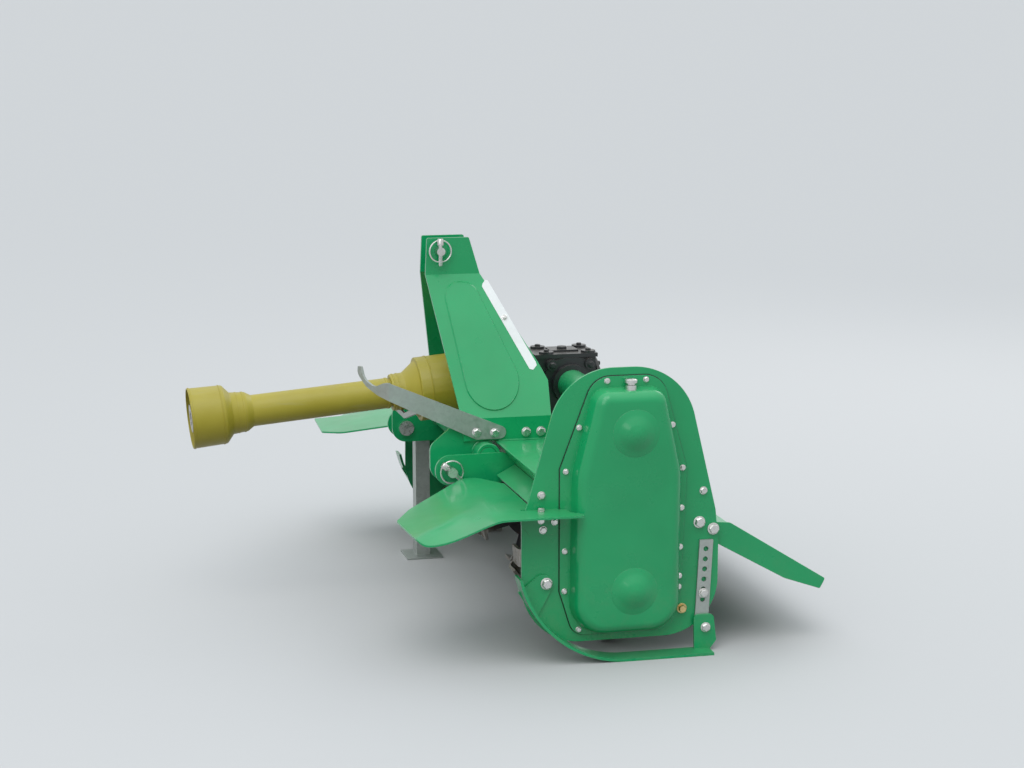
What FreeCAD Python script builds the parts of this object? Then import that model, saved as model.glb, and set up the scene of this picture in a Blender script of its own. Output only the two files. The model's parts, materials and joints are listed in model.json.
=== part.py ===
import FreeCAD, Part
import math
import os
import re
import Sketcher

# A rotary tiller for a compact tractor's three-point hitch.
# Frame: +X to the rear, +Y to the machine's right, +Z up. The heights are above the floor that
# the skids stand on. Lengths along X are measured from the rotor axis, and origin_x moves every
# piece so that the origin lies under the middle of the whole machine.

# name, value in mm or degrees, what it is
SIZES = [
    ("axle_z", 154, "rotor axis above the floor"),
    ("tine_reach", 150, "rotor axis to the tips of the tines"),
    ("half_width", 625, "centre plane to the inner face of a side plate"),
    ("side_sheet", 6, "thickness of a side plate"),
    ("side_top", 619, "top of the left side plate, over the drive"),
    ("right_top", 452, "top of the right side plate"),
    ("far_trim", 30, "right mast plate's foot back from the left one's"),
    ("side_foot", 36, "lower edge of the side plates"),
    ("side_front", 205, "front edge of a side plate ahead of the rotor axis"),
    ("side_rear", 212, "rear edge of a side plate behind the rotor axis"),
    ("fit_gap", 0.3, "clearance of a running or sliding fit"),
    ("shaft_x", 41, "upper cross shaft behind the rotor axis"),
    ("shaft_z", 485, "upper cross shaft above the floor"),
    ("hood_sheet", 5, "thickness of the hood"),
    ("hood_top", 394, "top of the hood"),
    ("hood_front", 182, "front edge of the hood's top"),
    ("lip_drop", 42, "fall of the hood's front lip"),
    ("lip_back", 32, "hood's front lip from its upper to its lower edge, towards the rear"),
    ("apron_reach", 42, "hood's lower edge to the front edge of the aprons"),
    ("stop_ahead", 35, "tailboard hinge to the stop bolts"),
    ("stop_radius", 8, "radius of the stop bolts"),
    ("hinge_x", 200, "tailboard hinge behind the rotor axis"),
    ("hinge_z", 264, "tailboard hinge above the floor"),
    ("hinge_pin", 8, "radius of the tailboard's hinge pins"),
    ("tail_length", 294, "hinge to the tailboard's rear edge"),
    ("tail_slope", 27, "fall of the tailboard from the hinge"),
    ("tail_sheet", 4, "thickness of the tailboard"),
    ("cheek_depth", 50, "depth of the tailboard's end cheeks"),
    ("tail_clear", 6, "tailboard's end to the side plate"),
    ("pin_x", 295, "lower hitch pins ahead of the rotor axis"),
    ("pin_z", 342, "lower hitch pins above the floor"),
    ("pin_radius", 11, "radius of a lower hitch pin"),
    ("ball_y", 254, "centre plane to the middle of a lower clevis"),
    ("clevis_half", 25, "half the gap of a lower clevis"),
    ("hitch_plate", 8, "thickness of a hitch plate"),
    ("hitch_nose", 34, "radius of a hitch plate's nose"),
    ("tube_z", 370, "cross tube above the floor"),
    ("tube_radius", 25, "radius of the cross tube"),
    ("tube_wall", 5, "wall of the cross tube"),
    ("mast_height", 460, "lower hitch pins to the top link pin"),
    ("top_pin_x", 265, "top link pin ahead of the rotor axis"),
    ("top_pin_radius", 9.5, "radius of the top link pin"),
    ("top_half", 26, "half the gap of the top link clevis"),
    ("mast_sheet", 7, "thickness of a mast plate"),
    ("foot_top", 447, "bend above the mast's foot"),
    ("head_drop", 55, "top link pin down to the mast's upper bend"),
    ("head_rise", 29, "top link pin up to the top of the mast"),
    ("emboss", 4, "height of the mast's pressed panel"),
    ("joint_x", 215, "drive shaft's joint ahead of the rotor axis"),
    ("shaft_slope", 5.0, "fall of the drive shaft towards its free end"),
    ("guard_radius", 35, "outside radius of the guard's outer tube"),
    ("guard_wall", 3, "wall of the guard"),
    ("neck_step", 8, "guard's neck over its outer tube"),
    ("bell_radius", 74, "outside radius of the guard's rear bell"),
    ("end_radius", 69, "outside radius of the guard's bell at the free end"),
    ("drive_length", 625, "joint to the free end of the drive shaft's guard"),
    ("cover_sheet", 6, "thickness of the case cover's rim"),
    ("cover_depth", 52, "depth of the case cover's pressing"),
    ("cover_round", 23, "rounding of the case cover's pressing"),
    ("dome_radius", 50, "radius of a dome's foot on the case cover"),
    ("dome_rise", 16, "height of a dome over the case cover's face"),
    ("arm_radius", 35, "outside radius of the cross shaft's tubes"),
    ("arm_wall", 6, "wall of the cross shaft's tubes"),
    ("box_half", 62, "half the width of the gearbox between its flanges"),
    ("box_front", 48, "gearbox's front face ahead of the rotor axis"),
    ("box_rear", 109, "gearbox's rear face behind the rotor axis"),
    ("lid_sheet", 14, "thickness of the gearbox's lid"),
    ("lid_edge", 4, "overhang of the gearbox's lid"),
    ("pad_radius", 17, "radius of the pads at the lid's corners"),
    ("arch_radius", 64, "radius of the gearbox's side flanges"),
    ("arch_sheet", 12, "thickness of the gearbox's side flanges"),
    ("ring_sheet", 14, "thickness of the seal rings round the cross shaft"),
    ("ring_radius", 46, "radius of the seal rings round the cross shaft"),
    ("box_top", 560, "top of the gearbox"),
    ("box_foot", 12, "thickness of the gearbox's foot"),
    ("skid_radius", 240, "radius of a skid's curved front"),
    ("skid_sheet", 6, "thickness of a skid"),
    ("skid_width", 50, "width of a skid"),
    ("skid_rear", 190, "rear end of a skid behind the rotor axis"),
    ("ear_sheet", 6, "thickness of a skid's ears"),
    ("bar_sheet", 6, "thickness of the depth bars"),
    ("bar_top", 242, "top of the depth bars"),
    ("bar_foot", 86, "lower end of the depth bars"),
    ("bar_hole", 5.5, "radius of the depth bars' holes"),
    ("bar_pitch", 22, "spacing of the depth bars' holes"),
    ("wing_sheet", 4, "thickness of the side deflectors"),
    ("wing_reach", 77, "side plate to a deflector's outer edge"),
    ("wing_inner", 85, "outer hitch plate to a deflector's inner edge at the apron"),
    ("wing_neck", 1, "left deflector's innermost corner inside the outer hitch plate"),
    ("wing_taper", 208, "deflector's outer edge back to its front corner"),
    ("side_gap", 1, "clearance of a deflector's sheet round the case cover"),
    ("wing_z", 326, "height of a deflector's level part"),
    ("wing_crease", 277, "deflector's cross bend ahead of the rotor axis"),
    ("wing_tip", 458, "deflector's front edge ahead of the rotor axis"),
    ("wing_fall", 40, "fall of the deflector from its cross bend to its tip"),
    ("rotor_radius", 30, "outside radius of the rotor tube"),
    ("flange_radius", 78, "radius of the rotor's flanges"),
    ("flange_sheet", 10, "thickness of the rotor's flanges"),
    ("flange_inset", 65, "side plate to the middle of the outermost flanges"),
    ("tine_sheet", 7, "thickness of a tine"),
    ("tine_width", 42, "width of a tine"),
    ("tine_foot", 66, "length of a tine's crosswise foot"),
    ("journal_radius", 22, "radius of the rotor's end journals"),
    ("leg_side", 36, "side of the parking stand's tube"),
    ("leg_wall", 3, "wall of the parking stand's tube"),
    ("leg_length", 432, "length of the parking stand's tube"),
    ("leg_x", 241, "parking stand ahead of the rotor axis"),
    ("leg_foot", 90, "side of the parking stand's foot"),
    ("sleeve_length", 96, "length of the parking stand's sleeve"),
    ("hook_sheet", 6, "thickness of the drive shaft's hook"),
    ("hook_width", 40, "width of the drive shaft's hook"),
    ("hook_x", 424, "hook's bent arm ahead of the rotor axis"),
    ("hook_foot", 400, "lower edge of the hook's foot above the floor"),
    ("hook_rise", 136, "rise of the hook's bar to its bend"),
    ("claw_turn", 60, "degrees that the hook's claw is bent inwards"),
    ("rest_x", 346, "drive shaft's rest ahead of the rotor axis"),
    ("rest_half", 46, "half the clear width of the drive shaft's rest"),
    ("rest_depth", 12, "depth of the rest's seat"),
    ("tip_width", 10, "width of the rest's upturned tip"),
    ("tip_rise", 26, "rise of the rest's tip over its seat"),
    ("weld_gap", 0.1, "gap between two pieces that a weld joins"),
    ("cross_radius", 9, "radius of the arms of the joint's cross"),
    ("fork_half", 36, "centre of the joint to the inner face of a fork's ear"),
    ("fork_sheet", 10, "thickness of a fork's ear"),
    ("stub_radius", 17.5, "radius of the splined shaft"),
]

# name, formula, what it is
WORKED_OUT = [
    ("side_outer", "half_width + side_sheet", "centre plane to the outer face of a side plate"),
    ("foot_outer", "ball_y - clevis_half + mast_sheet", "outer face of the mast's foot"),
    ("inner_outer", "ball_y - clevis_half", "outer face of an inner hitch plate"),
    ("top_pin_z", "pin_z + mast_height", "top link pin above the floor"),
    ("head_foot", "top_pin_z - head_drop", "mast's upper bend above the floor"),
    ("head_top", "top_pin_z + head_rise", "top of the mast"),
    ("head_outer", "top_half + mast_sheet", "outer face of the mast's head"),
    ("cover_face", "side_outer + cover_depth", "face of the case cover's pressing"),
    ("wing_outer", "side_outer + wing_reach", "centre plane to a deflector's outer edge"),
    ("flange_edge", "half_width - flange_inset", "centre plane to the outermost flanges"),
    ("tube_x", "hood_front + tube_radius + fit_gap", "cross tube ahead of the rotor axis"),
    ("inner_tube", "guard_radius - guard_wall - fit_gap", "outside radius of the guard's inner tube"),
    ("tail_rear", "hinge_x + tail_length * cos(tail_slope)", "rear edge of the tailboard"),
    ("origin_x", "(tail_rear - joint_x - drive_length * cos(shaft_slope)"
     " - end_radius * sin(shaft_slope)) / 2", "middle of the machine behind the rotor axis"),
    ("end_wall", "half_width - tail_clear", "centre plane to the tailboard's end"),
    ("leg_y", "ball_y + clevis_half + hitch_plate + leg_wall + leg_side / 2 + fit_gap",
     "parking stand to the right of the centre plane"),
]

doc = FreeCAD.newDocument("rotary_tiller")
sheet = doc.addObject("Spreadsheet::Sheet", "Sizes")
ALIASES = set()


def fill_sheet():
    """Writes the driving sizes and the sizes worked out from them, one row each."""
    row = 1
    for name, content, meaning in SIZES + WORKED_OUT:
        text = str(content) if name in [size[0] for size in SIZES] else "=" + content
        sheet.set("A%d" % row, name)
        sheet.set("B%d" % row, text)
        sheet.set("C%d" % row, meaning)
        sheet.setAlias("B%d" % row, name)
        ALIASES.add(name)
        row += 1
    doc.recompute()


def value(formula):
    """The number that a formula in the sheet's names comes to."""
    sheet.set("E1", "=" + str(formula))
    sheet.recompute()
    return float(sheet.get("E1"))


def bind(thing, prop, formula):
    """Ties a property to the sheet."""
    def full_name(match):
        word = match.group(0)
        return "Sizes." + word if word in ALIASES else word
    thing.setExpression(prop, re.sub(r"[a-z_]+", full_name, str(formula)))


TURNS = {
    "X": FreeCAD.Rotation(FreeCAD.Vector(0, 1, 0), 90),
    "Y": FreeCAD.Rotation(FreeCAD.Vector(1, 0, 0), -90),
    "Z": FreeCAD.Rotation(),
}


def put(thing, x, y, z, turn="Z"):
    """Places an object at a point given by formulas, its own Z axis along a main axis."""
    thing.Placement = FreeCAD.Placement(FreeCAD.Vector(), TURNS[turn])
    for letter, formula in zip("xyz", (x, y, z)):
        bind(thing, "Placement.Base." + letter, formula)
    return thing


def cylinder(label, radius, length, x, y, z, turn="Z"):
    """A round bar from a point along a main axis."""
    bar = doc.addObject("Part::Cylinder", label)
    bind(bar, "Radius", radius)
    bind(bar, "Height", length)
    return put(bar, x, y, z, turn)


def block(label, x, y, z):
    """A block between two limits along each axis, each pair given as formulas."""
    brick = doc.addObject("Part::Box", label)
    for prop, limits in zip(("Length", "Width", "Height"), (x, y, z)):
        bind(brick, prop, "(%s) - (%s)" % (limits[1], limits[0]))
    return put(brick, x[0], y[0], z[0])


def joined(label, pieces):
    """Pieces welded into one solid."""
    whole = doc.addObject("Part::MultiFuse", label)
    whole.Shapes = pieces
    return whole


def less(label, base, tools):
    """A piece with others cut out of it."""
    tool = tools[0] if len(tools) == 1 else joined(label + "_tools", tools)
    rest = doc.addObject("Part::Cut", label)
    rest.Base = base
    rest.Tool = tool
    return rest


def shared(label, first, second):
    """What two pieces have in common."""
    both = doc.addObject("Part::Common", label)
    both.Base = first
    both.Tool = second
    return both


def draw_outline(sketch, corners):
    """Draws a closed outline through corners (x, y, rounding), anticlockwise, all formulas.

    Each corner's place and rounding is a constraint tied to the sheet.
    """
    spots = [tuple(value(part) for part in corner) for corner in corners]
    count = len(spots)
    entries = []
    for i in range(count):
        x, y, radius = spots[i]
        before = FreeCAD.Vector(spots[i - 1][0] - x, spots[i - 1][1] - y, 0)
        after = FreeCAD.Vector(spots[(i + 1) % count][0] - x, spots[(i + 1) % count][1] - y, 0)
        before.normalize()
        after.normalize()
        here = FreeCAD.Vector(x, y, 0)
        if radius <= 0:
            entries.append((here, here, None, 0))
            continue
        half = before.getAngle(after) / 2
        run = radius / math.tan(half)
        middle = here + (before + after).normalize() * (radius / math.sin(half))
        turn = before.cross(after).z
        entries.append((here + before * run, here + after * run, middle, turn))
    lines = []
    arcs = []
    for i in range(count):
        start = entries[i][1]
        end = entries[(i + 1) % count][0]
        lines.append(sketch.addGeometry(Part.LineSegment(start, end), False))
    for i in range(count):
        first, last, middle, turn = entries[i]
        if middle is None:
            arcs.append(None)
            continue
        ends = (first, last) if turn < 0 else (last, first)
        angles = [math.atan2(spot.y - middle.y, spot.x - middle.x) for spot in ends]
        if angles[1] < angles[0]:
            angles[1] += 2 * math.pi
        circle = Part.Circle(middle, FreeCAD.Vector(0, 0, 1), spots[i][2])
        arcs.append(sketch.addGeometry(Part.ArcOfCircle(circle, angles[0], angles[1]), False))
    for i in range(count):
        incoming = lines[i - 1]
        outgoing = lines[i]
        x, y, radius = corners[i]
        if arcs[i] is None:
            sketch.addConstraint(Sketcher.Constraint("Coincident", incoming, 2, outgoing, 1))
            target = (outgoing, 1)
        else:
            spot = FreeCAD.Vector(spots[i][0], spots[i][1], 0)
            point = sketch.addGeometry(Part.Point(spot), True)
            first, last = (1, 2) if entries[i][3] < 0 else (2, 1)
            sketch.addConstraint(Sketcher.Constraint("Tangent", incoming, 2, arcs[i], first))
            sketch.addConstraint(Sketcher.Constraint("Tangent", arcs[i], last, outgoing, 1))
            sketch.addConstraint(Sketcher.Constraint("PointOnObject", point, 1, incoming))
            sketch.addConstraint(Sketcher.Constraint("PointOnObject", point, 1, outgoing))
            rounding = sketch.addConstraint(Sketcher.Constraint("Radius", arcs[i], spots[i][2]))
            bind(sketch, "Constraints[%d]" % rounding, radius)
            target = (point, 1)
        for kind, number, formula in (("DistanceX", spots[i][0], x), ("DistanceY", spots[i][1], y)):
            place = sketch.addConstraint(Sketcher.Constraint(kind, -1, 1, target[0], target[1], number))
            bind(sketch, "Constraints[%d]" % place, formula)


def draw_holes(sketch, holes):
    """Draws round holes (x, y, radius) in a sketch, all formulas."""
    for hole in holes:
        x, y, radius = [value(part) for part in hole]
        circle = Part.Circle(FreeCAD.Vector(x, y, 0), FreeCAD.Vector(0, 0, 1), radius)
        rim = sketch.addGeometry(circle, False)
        limits = (("DistanceX", -1, 1, rim, 3, x), ("DistanceY", -1, 1, rim, 3, y), ("Radius", rim, radius))
        for limit, formula in zip(limits, hole):
            place = sketch.addConstraint(Sketcher.Constraint(*limit))
            bind(sketch, "Constraints[%d]" % place, formula)


def new_sketch(body, name, plane):
    """A sketch on one of a body's own planes."""
    sketch = body.newObject("Sketcher::SketchObject", name)
    role = plane + "_Plane"
    origin_plane = [item for item in body.Origin.OriginFeatures if item.Role == role][0]
    sketch.AttachmentSupport = [(origin_plane, "")]
    sketch.MapMode = "FlatFace"
    return sketch


def add_pad(body, name, plane, corners, start, end, holes=()):
    """Pads an outline between two limits along the axis across its plane."""
    sketch = new_sketch(body, name + "_outline", plane)
    offset = "-(%s)" % end if plane == "XZ" else start
    bind(sketch, "AttachmentOffset.Base.z", offset)
    draw_outline(sketch, corners)
    draw_holes(sketch, holes)
    pad = body.newObject("PartDesign::Pad", name + "_pad")
    pad.Profile = sketch
    bind(pad, "Length", "(%s) - (%s)" % (end, start))
    body.Tip = pad
    return pad


def plate(label, plane, corners, start, end, holes=()):
    """A plate as a body of its own: an outline with holes, padded to its thickness."""
    body = doc.addObject("PartDesign::Body", label)
    add_pad(body, label, plane, corners, start, end, holes)
    return body


def turned(label, corners):
    """A turned piece about its own X axis: corners (distance ahead, radius), as formulas."""
    body = doc.addObject("PartDesign::Body", label)
    sketch = new_sketch(body, label + "_profile", "XZ")
    draw_outline(sketch, [("-(%s)" % ahead, radius, rounding) for ahead, radius, rounding in corners])
    turn = body.newObject("PartDesign::Revolution", label + "_turn")
    turn.Profile = sketch
    turn.ReferenceAxis = (sketch, ["H_Axis"])
    turn.Angle = 360
    body.Tip = turn
    return body


def span(side, inner, outer):
    """The limits along Y of a piece between two distances from the centre plane."""
    if side == "left":
        return "-(%s)" % outer, "-(%s)" % inner
    return inner, outer


SIDES = ("left", "right")


def side_plate(side):
    """A side plate with the rotor's journal; the left one rises to a round top over the drive."""
    if side == "left":
        top = [("shaft_x + 89", "side_top", 138), ("shaft_x - 169", "side_top", 138)]
    else:
        top = [("side_rear - 44", "right_top", 60), ("-side_front + 46", "right_top", 60)]
    corners = [
        ("-side_front", "wing_z + 14", 0), ("-side_front - 14", "wing_z - 22", 0),
        ("-side_front - 14", "side_foot", 130), ("side_rear", "side_foot", 120),
        ("side_rear", 234, 0), ("side_rear - 7", 306, 0),
    ]
    holes = [(0, "axle_z", "journal_radius + fit_gap"),
             ("hinge_x", "hinge_z", "hinge_pin + fit_gap")]
    start, end = span(side, "half_width", "side_outer")
    return plate("side_plate_" + side, "XZ", corners + top, start, end, holes)


def case_cover():
    """The pressed cover of the side drive: a flat rim, a deep rounded pressing and two domes."""
    body = doc.addObject("PartDesign::Body", "cover_pressing")
    rim = [
        (-138, "axle_z - 6", 0), (-108, 52, 34), (108, 52, 34), (128, "axle_z - 6", 0), (138, 400, 0),
        ("shaft_x + 41", "side_top - 17", 52), ("shaft_x - 107", "side_top - 17", 52), (-138, 410, 0),
    ]
    add_pad(body, "cover_rim", "XZ", rim, "-side_outer - cover_sheet", "-side_outer")
    panel = [
        (-119, 56, 70), (118, 56, 70), (120, 400, 160), ("shaft_x + 40", "side_top - 40", 36),
        ("shaft_x - 110", "side_top - 40", 36), (-114, 400, 160),
    ]
    pressing = add_pad(body, "cover_panel", "XZ", panel, "-cover_face", "-side_outer - cover_sheet / 2")
    pressing.TaperAngle = -8
    doc.recompute()
    face_y = -value("cover_face")
    edges = []
    for number, edge in enumerate(pressing.Shape.Edges, 1):
        if edge.BoundBox.YMax < face_y + 0.01:
            edges.append("Edge%d" % number)
    rounding = body.newObject("PartDesign::Fillet", "cover_rounding")
    rounding.Base = (pressing, edges)
    bind(rounding, "Radius", "cover_round")
    body.Tip = rounding
    pieces = [body]
    # a dome's profile: height over the face, radius, rounding
    profile = [
        (-2, 0, 0), (-2, "dome_radius", 0), (0.2, "dome_radius", 0),
        ("dome_rise * 0.22", "dome_radius * 0.76", 40), ("dome_rise * 0.75", "dome_radius * 0.4", 40),
        ("dome_rise", "dome_radius * 0.12", 30), ("dome_rise", 0, 0),
    ]
    for name, x, z in (("upper", "shaft_x - 29", "shaft_z + 3"), ("lower", 11, "axle_z - 2")):
        dome = turned("cover_dome_" + name, profile)
        dome.Placement = FreeCAD.Placement(FreeCAD.Vector(), FreeCAD.Rotation(FreeCAD.Vector(0, 0, 1), 90))
        bind(dome, "Placement.Base.x", x)
        bind(dome, "Placement.Base.y", "-cover_face")
        bind(dome, "Placement.Base.z", z)
        pieces.append(dome)
    return joined("case_cover", pieces)


def bearing_housing():
    """The rotor's bearing on the right side plate: a bolted flange and a round cap."""
    flange = cylinder("housing_flange", 62, 10, 0, "side_outer", "axle_z", "Y")
    cap = cylinder("housing_cap", 42, 34, 0, "side_outer", "axle_z", "Y")
    bore = cylinder("housing_bore", "journal_radius + fit_gap", 24, 0, "side_outer - 1", "axle_z", "Y")
    return less("bearing_housing", joined("housing_solid", [flange, cap]), [bore])


def hood_shell():
    """The hood over the rotor: one sheet bent down at its front lip and towards the tailboard."""
    corners = [
        ("-hood_front + lip_back", "hood_top - lip_drop", 0),
        ("-hood_front + lip_back + 4", "hood_top - lip_drop + 3", 0),
        ("-hood_front + 2 * hood_sheet", "hood_top - hood_sheet", 0), (98, "hood_top - hood_sheet", 30),
        ("hinge_x - 16", "hinge_z + 24", 0), ("hinge_x - 12", "hinge_z + 28", 0),
        (101, "hood_top", 30), ("-hood_front", "hood_top", 2),
    ]
    sheet_piece = plate("hood_sheet_piece", "XZ", corners, "-half_width", "half_width")
    slots = []
    for side in SIDES:
        start, end = span(side, "ball_y + clevis_half - fit_gap",
                          "ball_y + clevis_half + hitch_plate + fit_gap")
        slots.append(block("hood_slot_" + side, ("-hood_front + 4", -148), (start, end),
                           (340, "pin_z + 37")))
    return less("hood_shell", sheet_piece, slots)


def aprons():
    """The two sloping panels from the hood's lower front edge down to the deflectors."""
    pieces = []
    for side in SIDES:
        back = "-hood_front + lip_back"
        low = "hood_top - lip_drop"
        corners = [
            (back + " - apron_reach + 2", low + " - 27", 0), (back + " + 2", low + " - 5", 0),
            (back, low + " - 1", 0), (back + " - apron_reach", low + " - 23", 0),
        ]
        start, end = span(side, "ball_y + clevis_half + hitch_plate + 6", "half_width")
        pieces.append(plate("apron_" + side, "XZ", corners, start, end))
    return joined("aprons", pieces)


def cross_tube():
    """The tube along the hood's front edge that carries the hitch plates."""
    length = "2 * (ball_y + clevis_half)"
    start = "-ball_y - clevis_half"
    outside = cylinder("tube_outside", "tube_radius", length, "-tube_x", start, "tube_z", "Y")
    inside = cylinder("tube_inside", "tube_radius - tube_wall", length, "-tube_x", start, "tube_z", "Y")
    return less("cross_tube", outside, [inside])


def hitch_plates(side):
    """The two plates of a lower clevis: the inner one runs back under the mast's foot."""
    nose = ("-pin_x", "pin_z", "pin_radius + fit_gap")
    inner = [
        ("-pin_x - hitch_nose", "pin_z - hitch_nose", "hitch_nose - 1"),
        ("-hood_front - 14", "pin_z - hitch_nose", 10), ("-hood_front - 14", "hood_top", 0),
        (-55, "hood_top", 0), (-55, "foot_top - 2", 8), (-262, "foot_top - 2", 14),
        ("-pin_x - hitch_nose", "pin_z + hitch_nose + 12", 26),
    ]
    outer = [
        ("-pin_x - hitch_nose", "pin_z - hitch_nose", "hitch_nose - 1"),
        (-149, "pin_z - 30", 32), (-149, "pin_z + 36", 32),
        ("-pin_x - hitch_nose", "pin_z + hitch_nose", "hitch_nose - 1"),
    ]
    start, end = span(side, "inner_outer - hitch_plate", "inner_outer")
    uncut = plate("hitch_blank_" + side, "XZ", inner, start, end, [nose])
    passage = cylinder("hitch_passage_" + side, "tube_radius + fit_gap", "hitch_plate + 2", "-tube_x",
                       start + " - 1", "tube_z", "Y")
    first = less("hitch_inner_" + side, uncut, [passage])
    start, end = span(side, "ball_y + clevis_half", "ball_y + clevis_half + hitch_plate")
    second = plate("hitch_outer_" + side, "XZ", outer, start, end, [nose])
    return [first, second]


def mast_plate(side):
    """A mast plate: its side outline cut from a sheet with two bends, and a pressed panel."""
    front = "0" if side == "left" else "far_trim"
    outline = [
        ("-253 + " + front, "hood_top + 2", 0), (-62, "hood_top + 2", 8), (-52, "foot_top", 0),
        (-47, 519, 0), (-64, 557, 0), ("-top_pin_x + 95", "head_foot", 0),
        ("-top_pin_x + 70", "head_top", 4), ("-top_pin_x - 28", "head_top", 4),
        ("-top_pin_x - 32", "head_foot", 0), ("-258 + " + front, "foot_top", 0),
    ]
    hole = ("-top_pin_x", "top_pin_z", "top_pin_radius + fit_gap")
    lobe = [(-232, 464, 58), (-88, 464, 62), (-190, 729, 34), (-261, 729, 34)]
    sign = "-" if side == "left" else ""
    bend_low = (sign + "foot_outer", "foot_top")
    bend_high = (sign + "head_outer", "head_foot")

    def strip(name, shift, depth):
        """The bent sheet seen from the front, from an outward shift to a depth inside it."""
        outside = [(sign + "(foot_outer + %s)" % shift, "foot_top - 60", 0),
                   (sign + "(foot_outer + %s)" % shift, bend_low[1], 0),
                   (sign + "(head_outer + %s)" % shift, bend_high[1], 0),
                   (sign + "(head_outer + %s)" % shift, "head_top + 5", 0)]
        inside = [(sign + "(head_outer - %s)" % depth, "head_top + 5", 0),
                  (sign + "(head_outer - %s)" % depth, bend_high[1], 0),
                  (sign + "(foot_outer - %s)" % depth, bend_low[1], 0),
                  (sign + "(foot_outer - %s)" % depth, "foot_top - 60", 0)]
        corners = outside + inside
        if side == "left":
            corners.reverse()
        return plate(name, "YZ", corners, -340, 20)

    start, end = span(side, 0, 300)
    cut = plate("mast_outline_" + side, "XZ", outline, start, end, [hole])
    sheet_piece = shared("mast_sheet_" + side, cut, strip("mast_bends_" + side, 0, "mast_sheet"))
    panel_cut = plate("mast_lobe_" + side, "XZ", lobe, start, end)
    panel = shared("mast_panel_" + side, panel_cut, strip("panel_bends_" + side, "emboss", 1))
    return joined("mast_plate_" + side, [sheet_piece, panel])


def top_link_pin():
    """The top link pin across the mast's head, with its round head on the right."""
    shank = cylinder("top_pin_shank", "top_pin_radius", "2 * head_outer + 34", "-top_pin_x",
                     "-head_outer - 26", "top_pin_z", "Y")
    head = cylinder("top_pin_head", "top_pin_radius + 5", 8, "-top_pin_x", "head_outer + 0.2",
                    "top_pin_z", "Y")
    return joined("top_link_pin", [shank, head])


def lower_pin(side):
    """A lower hitch pin through both clevis plates, with its head inside."""
    outer_end = "ball_y + clevis_half + hitch_plate + 26"
    head_face = "inner_outer - hitch_plate - 0.2"
    start, end = span(side, head_face + " - 8", outer_end)
    shank = cylinder("lower_shank_" + side, "pin_radius", "(%s) - (%s)" % (end, start), "-pin_x", start,
                     "pin_z", "Y")
    start, end = span(side, head_face + " - 8", head_face)
    head = cylinder("lower_head_" + side, "pin_radius + 7", 8, "-pin_x", start, "pin_z", "Y")
    return joined("lower_pin_" + side, [shank, head])


def drive_hook():
    """The drive shaft's hook, and the rest on its bar that carries the parked shaft's guard.

    A flat bar rises from the mast's foot and ends in a claw, bent inwards, that opens upwards.
    The rest is a bent bar welded to the flat bar's inner face, with a tip at its far end.
    """
    bar_top = "hook_foot + hook_rise"
    bar_low = bar_top + " - hook_width"
    bar = [
        (-158, "hook_foot", 14), (-158, "hook_foot + 24", 12), ("-hook_x", bar_top, 0),
        ("-hook_x", bar_low, 0), (-226, "hook_foot", 6),
    ]
    side = plate("hook_bar", "XZ", bar, "-foot_outer - hook_sheet", "-foot_outer")
    # the claw's outline: distance from the bend, height over the bar's top, rounding
    outline = [
        (0, "-hook_width", 0), (-38, "8 - hook_width", 60), (-78, "23 - hook_width", 60), (-108, 10, 20),
        (-105, 26, 2), (-95, 26, 2), (-86, -1, 30), (-50, -15, 30), (-18, -2, 20), (0, 0, 0),
    ]
    claw = plate("hook_claw", "XZ", outline, 0, "hook_sheet")
    claw.Placement = FreeCAD.Placement(FreeCAD.Vector(), FreeCAD.Rotation(FreeCAD.Vector(0, 0, -1), 10))
    bind(claw, "Placement.Rotation.Angle", "claw_turn * 1 deg")
    bind(claw, "Placement.Base.x", "-hook_x")
    bind(claw, "Placement.Base.y", "-foot_outer - hook_sheet")
    bind(claw, "Placement.Base.z", bar_top)
    axis_z = "(shaft_z - (rest_x + hook_sheet - joint_x) * tan(shaft_slope))"
    seat_z = "(%s - (guard_radius + neck_step) / cos(shaft_slope) - fit_gap)" % axis_z
    low_z = seat_z + " - rest_depth"
    arm_corners = [
        ("weld_gap - foot_outer", seat_z + " + 38", 0), ("-rest_half", low_z, 0),
        ("-rest_half", seat_z, 0), ("weld_gap - foot_outer", seat_z + " + 56", 0),
    ]
    seat_corners = [
        ("weld_gap - rest_half", low_z, 0), ("rest_half + tip_width", low_z, 6),
        ("rest_half + tip_width", seat_z, 0), ("weld_gap - rest_half", seat_z, 0),
    ]
    tip_corners = [
        ("rest_half", seat_z + " + weld_gap", 0), ("rest_half + tip_width", seat_z + " + weld_gap", 0),
        ("rest_half + tip_width", seat_z + " + tip_rise", 4), ("rest_half + 2", seat_z + " + tip_rise", 3),
    ]
    pieces = [side, claw]
    for name, corners in (("arm", arm_corners), ("seat", seat_corners), ("tip", tip_corners)):
        pieces.append(plate("rest_" + name, "YZ", corners, "-rest_x - hook_sheet", "-rest_x"))
    return joined("drive_hook", pieces)


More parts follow.
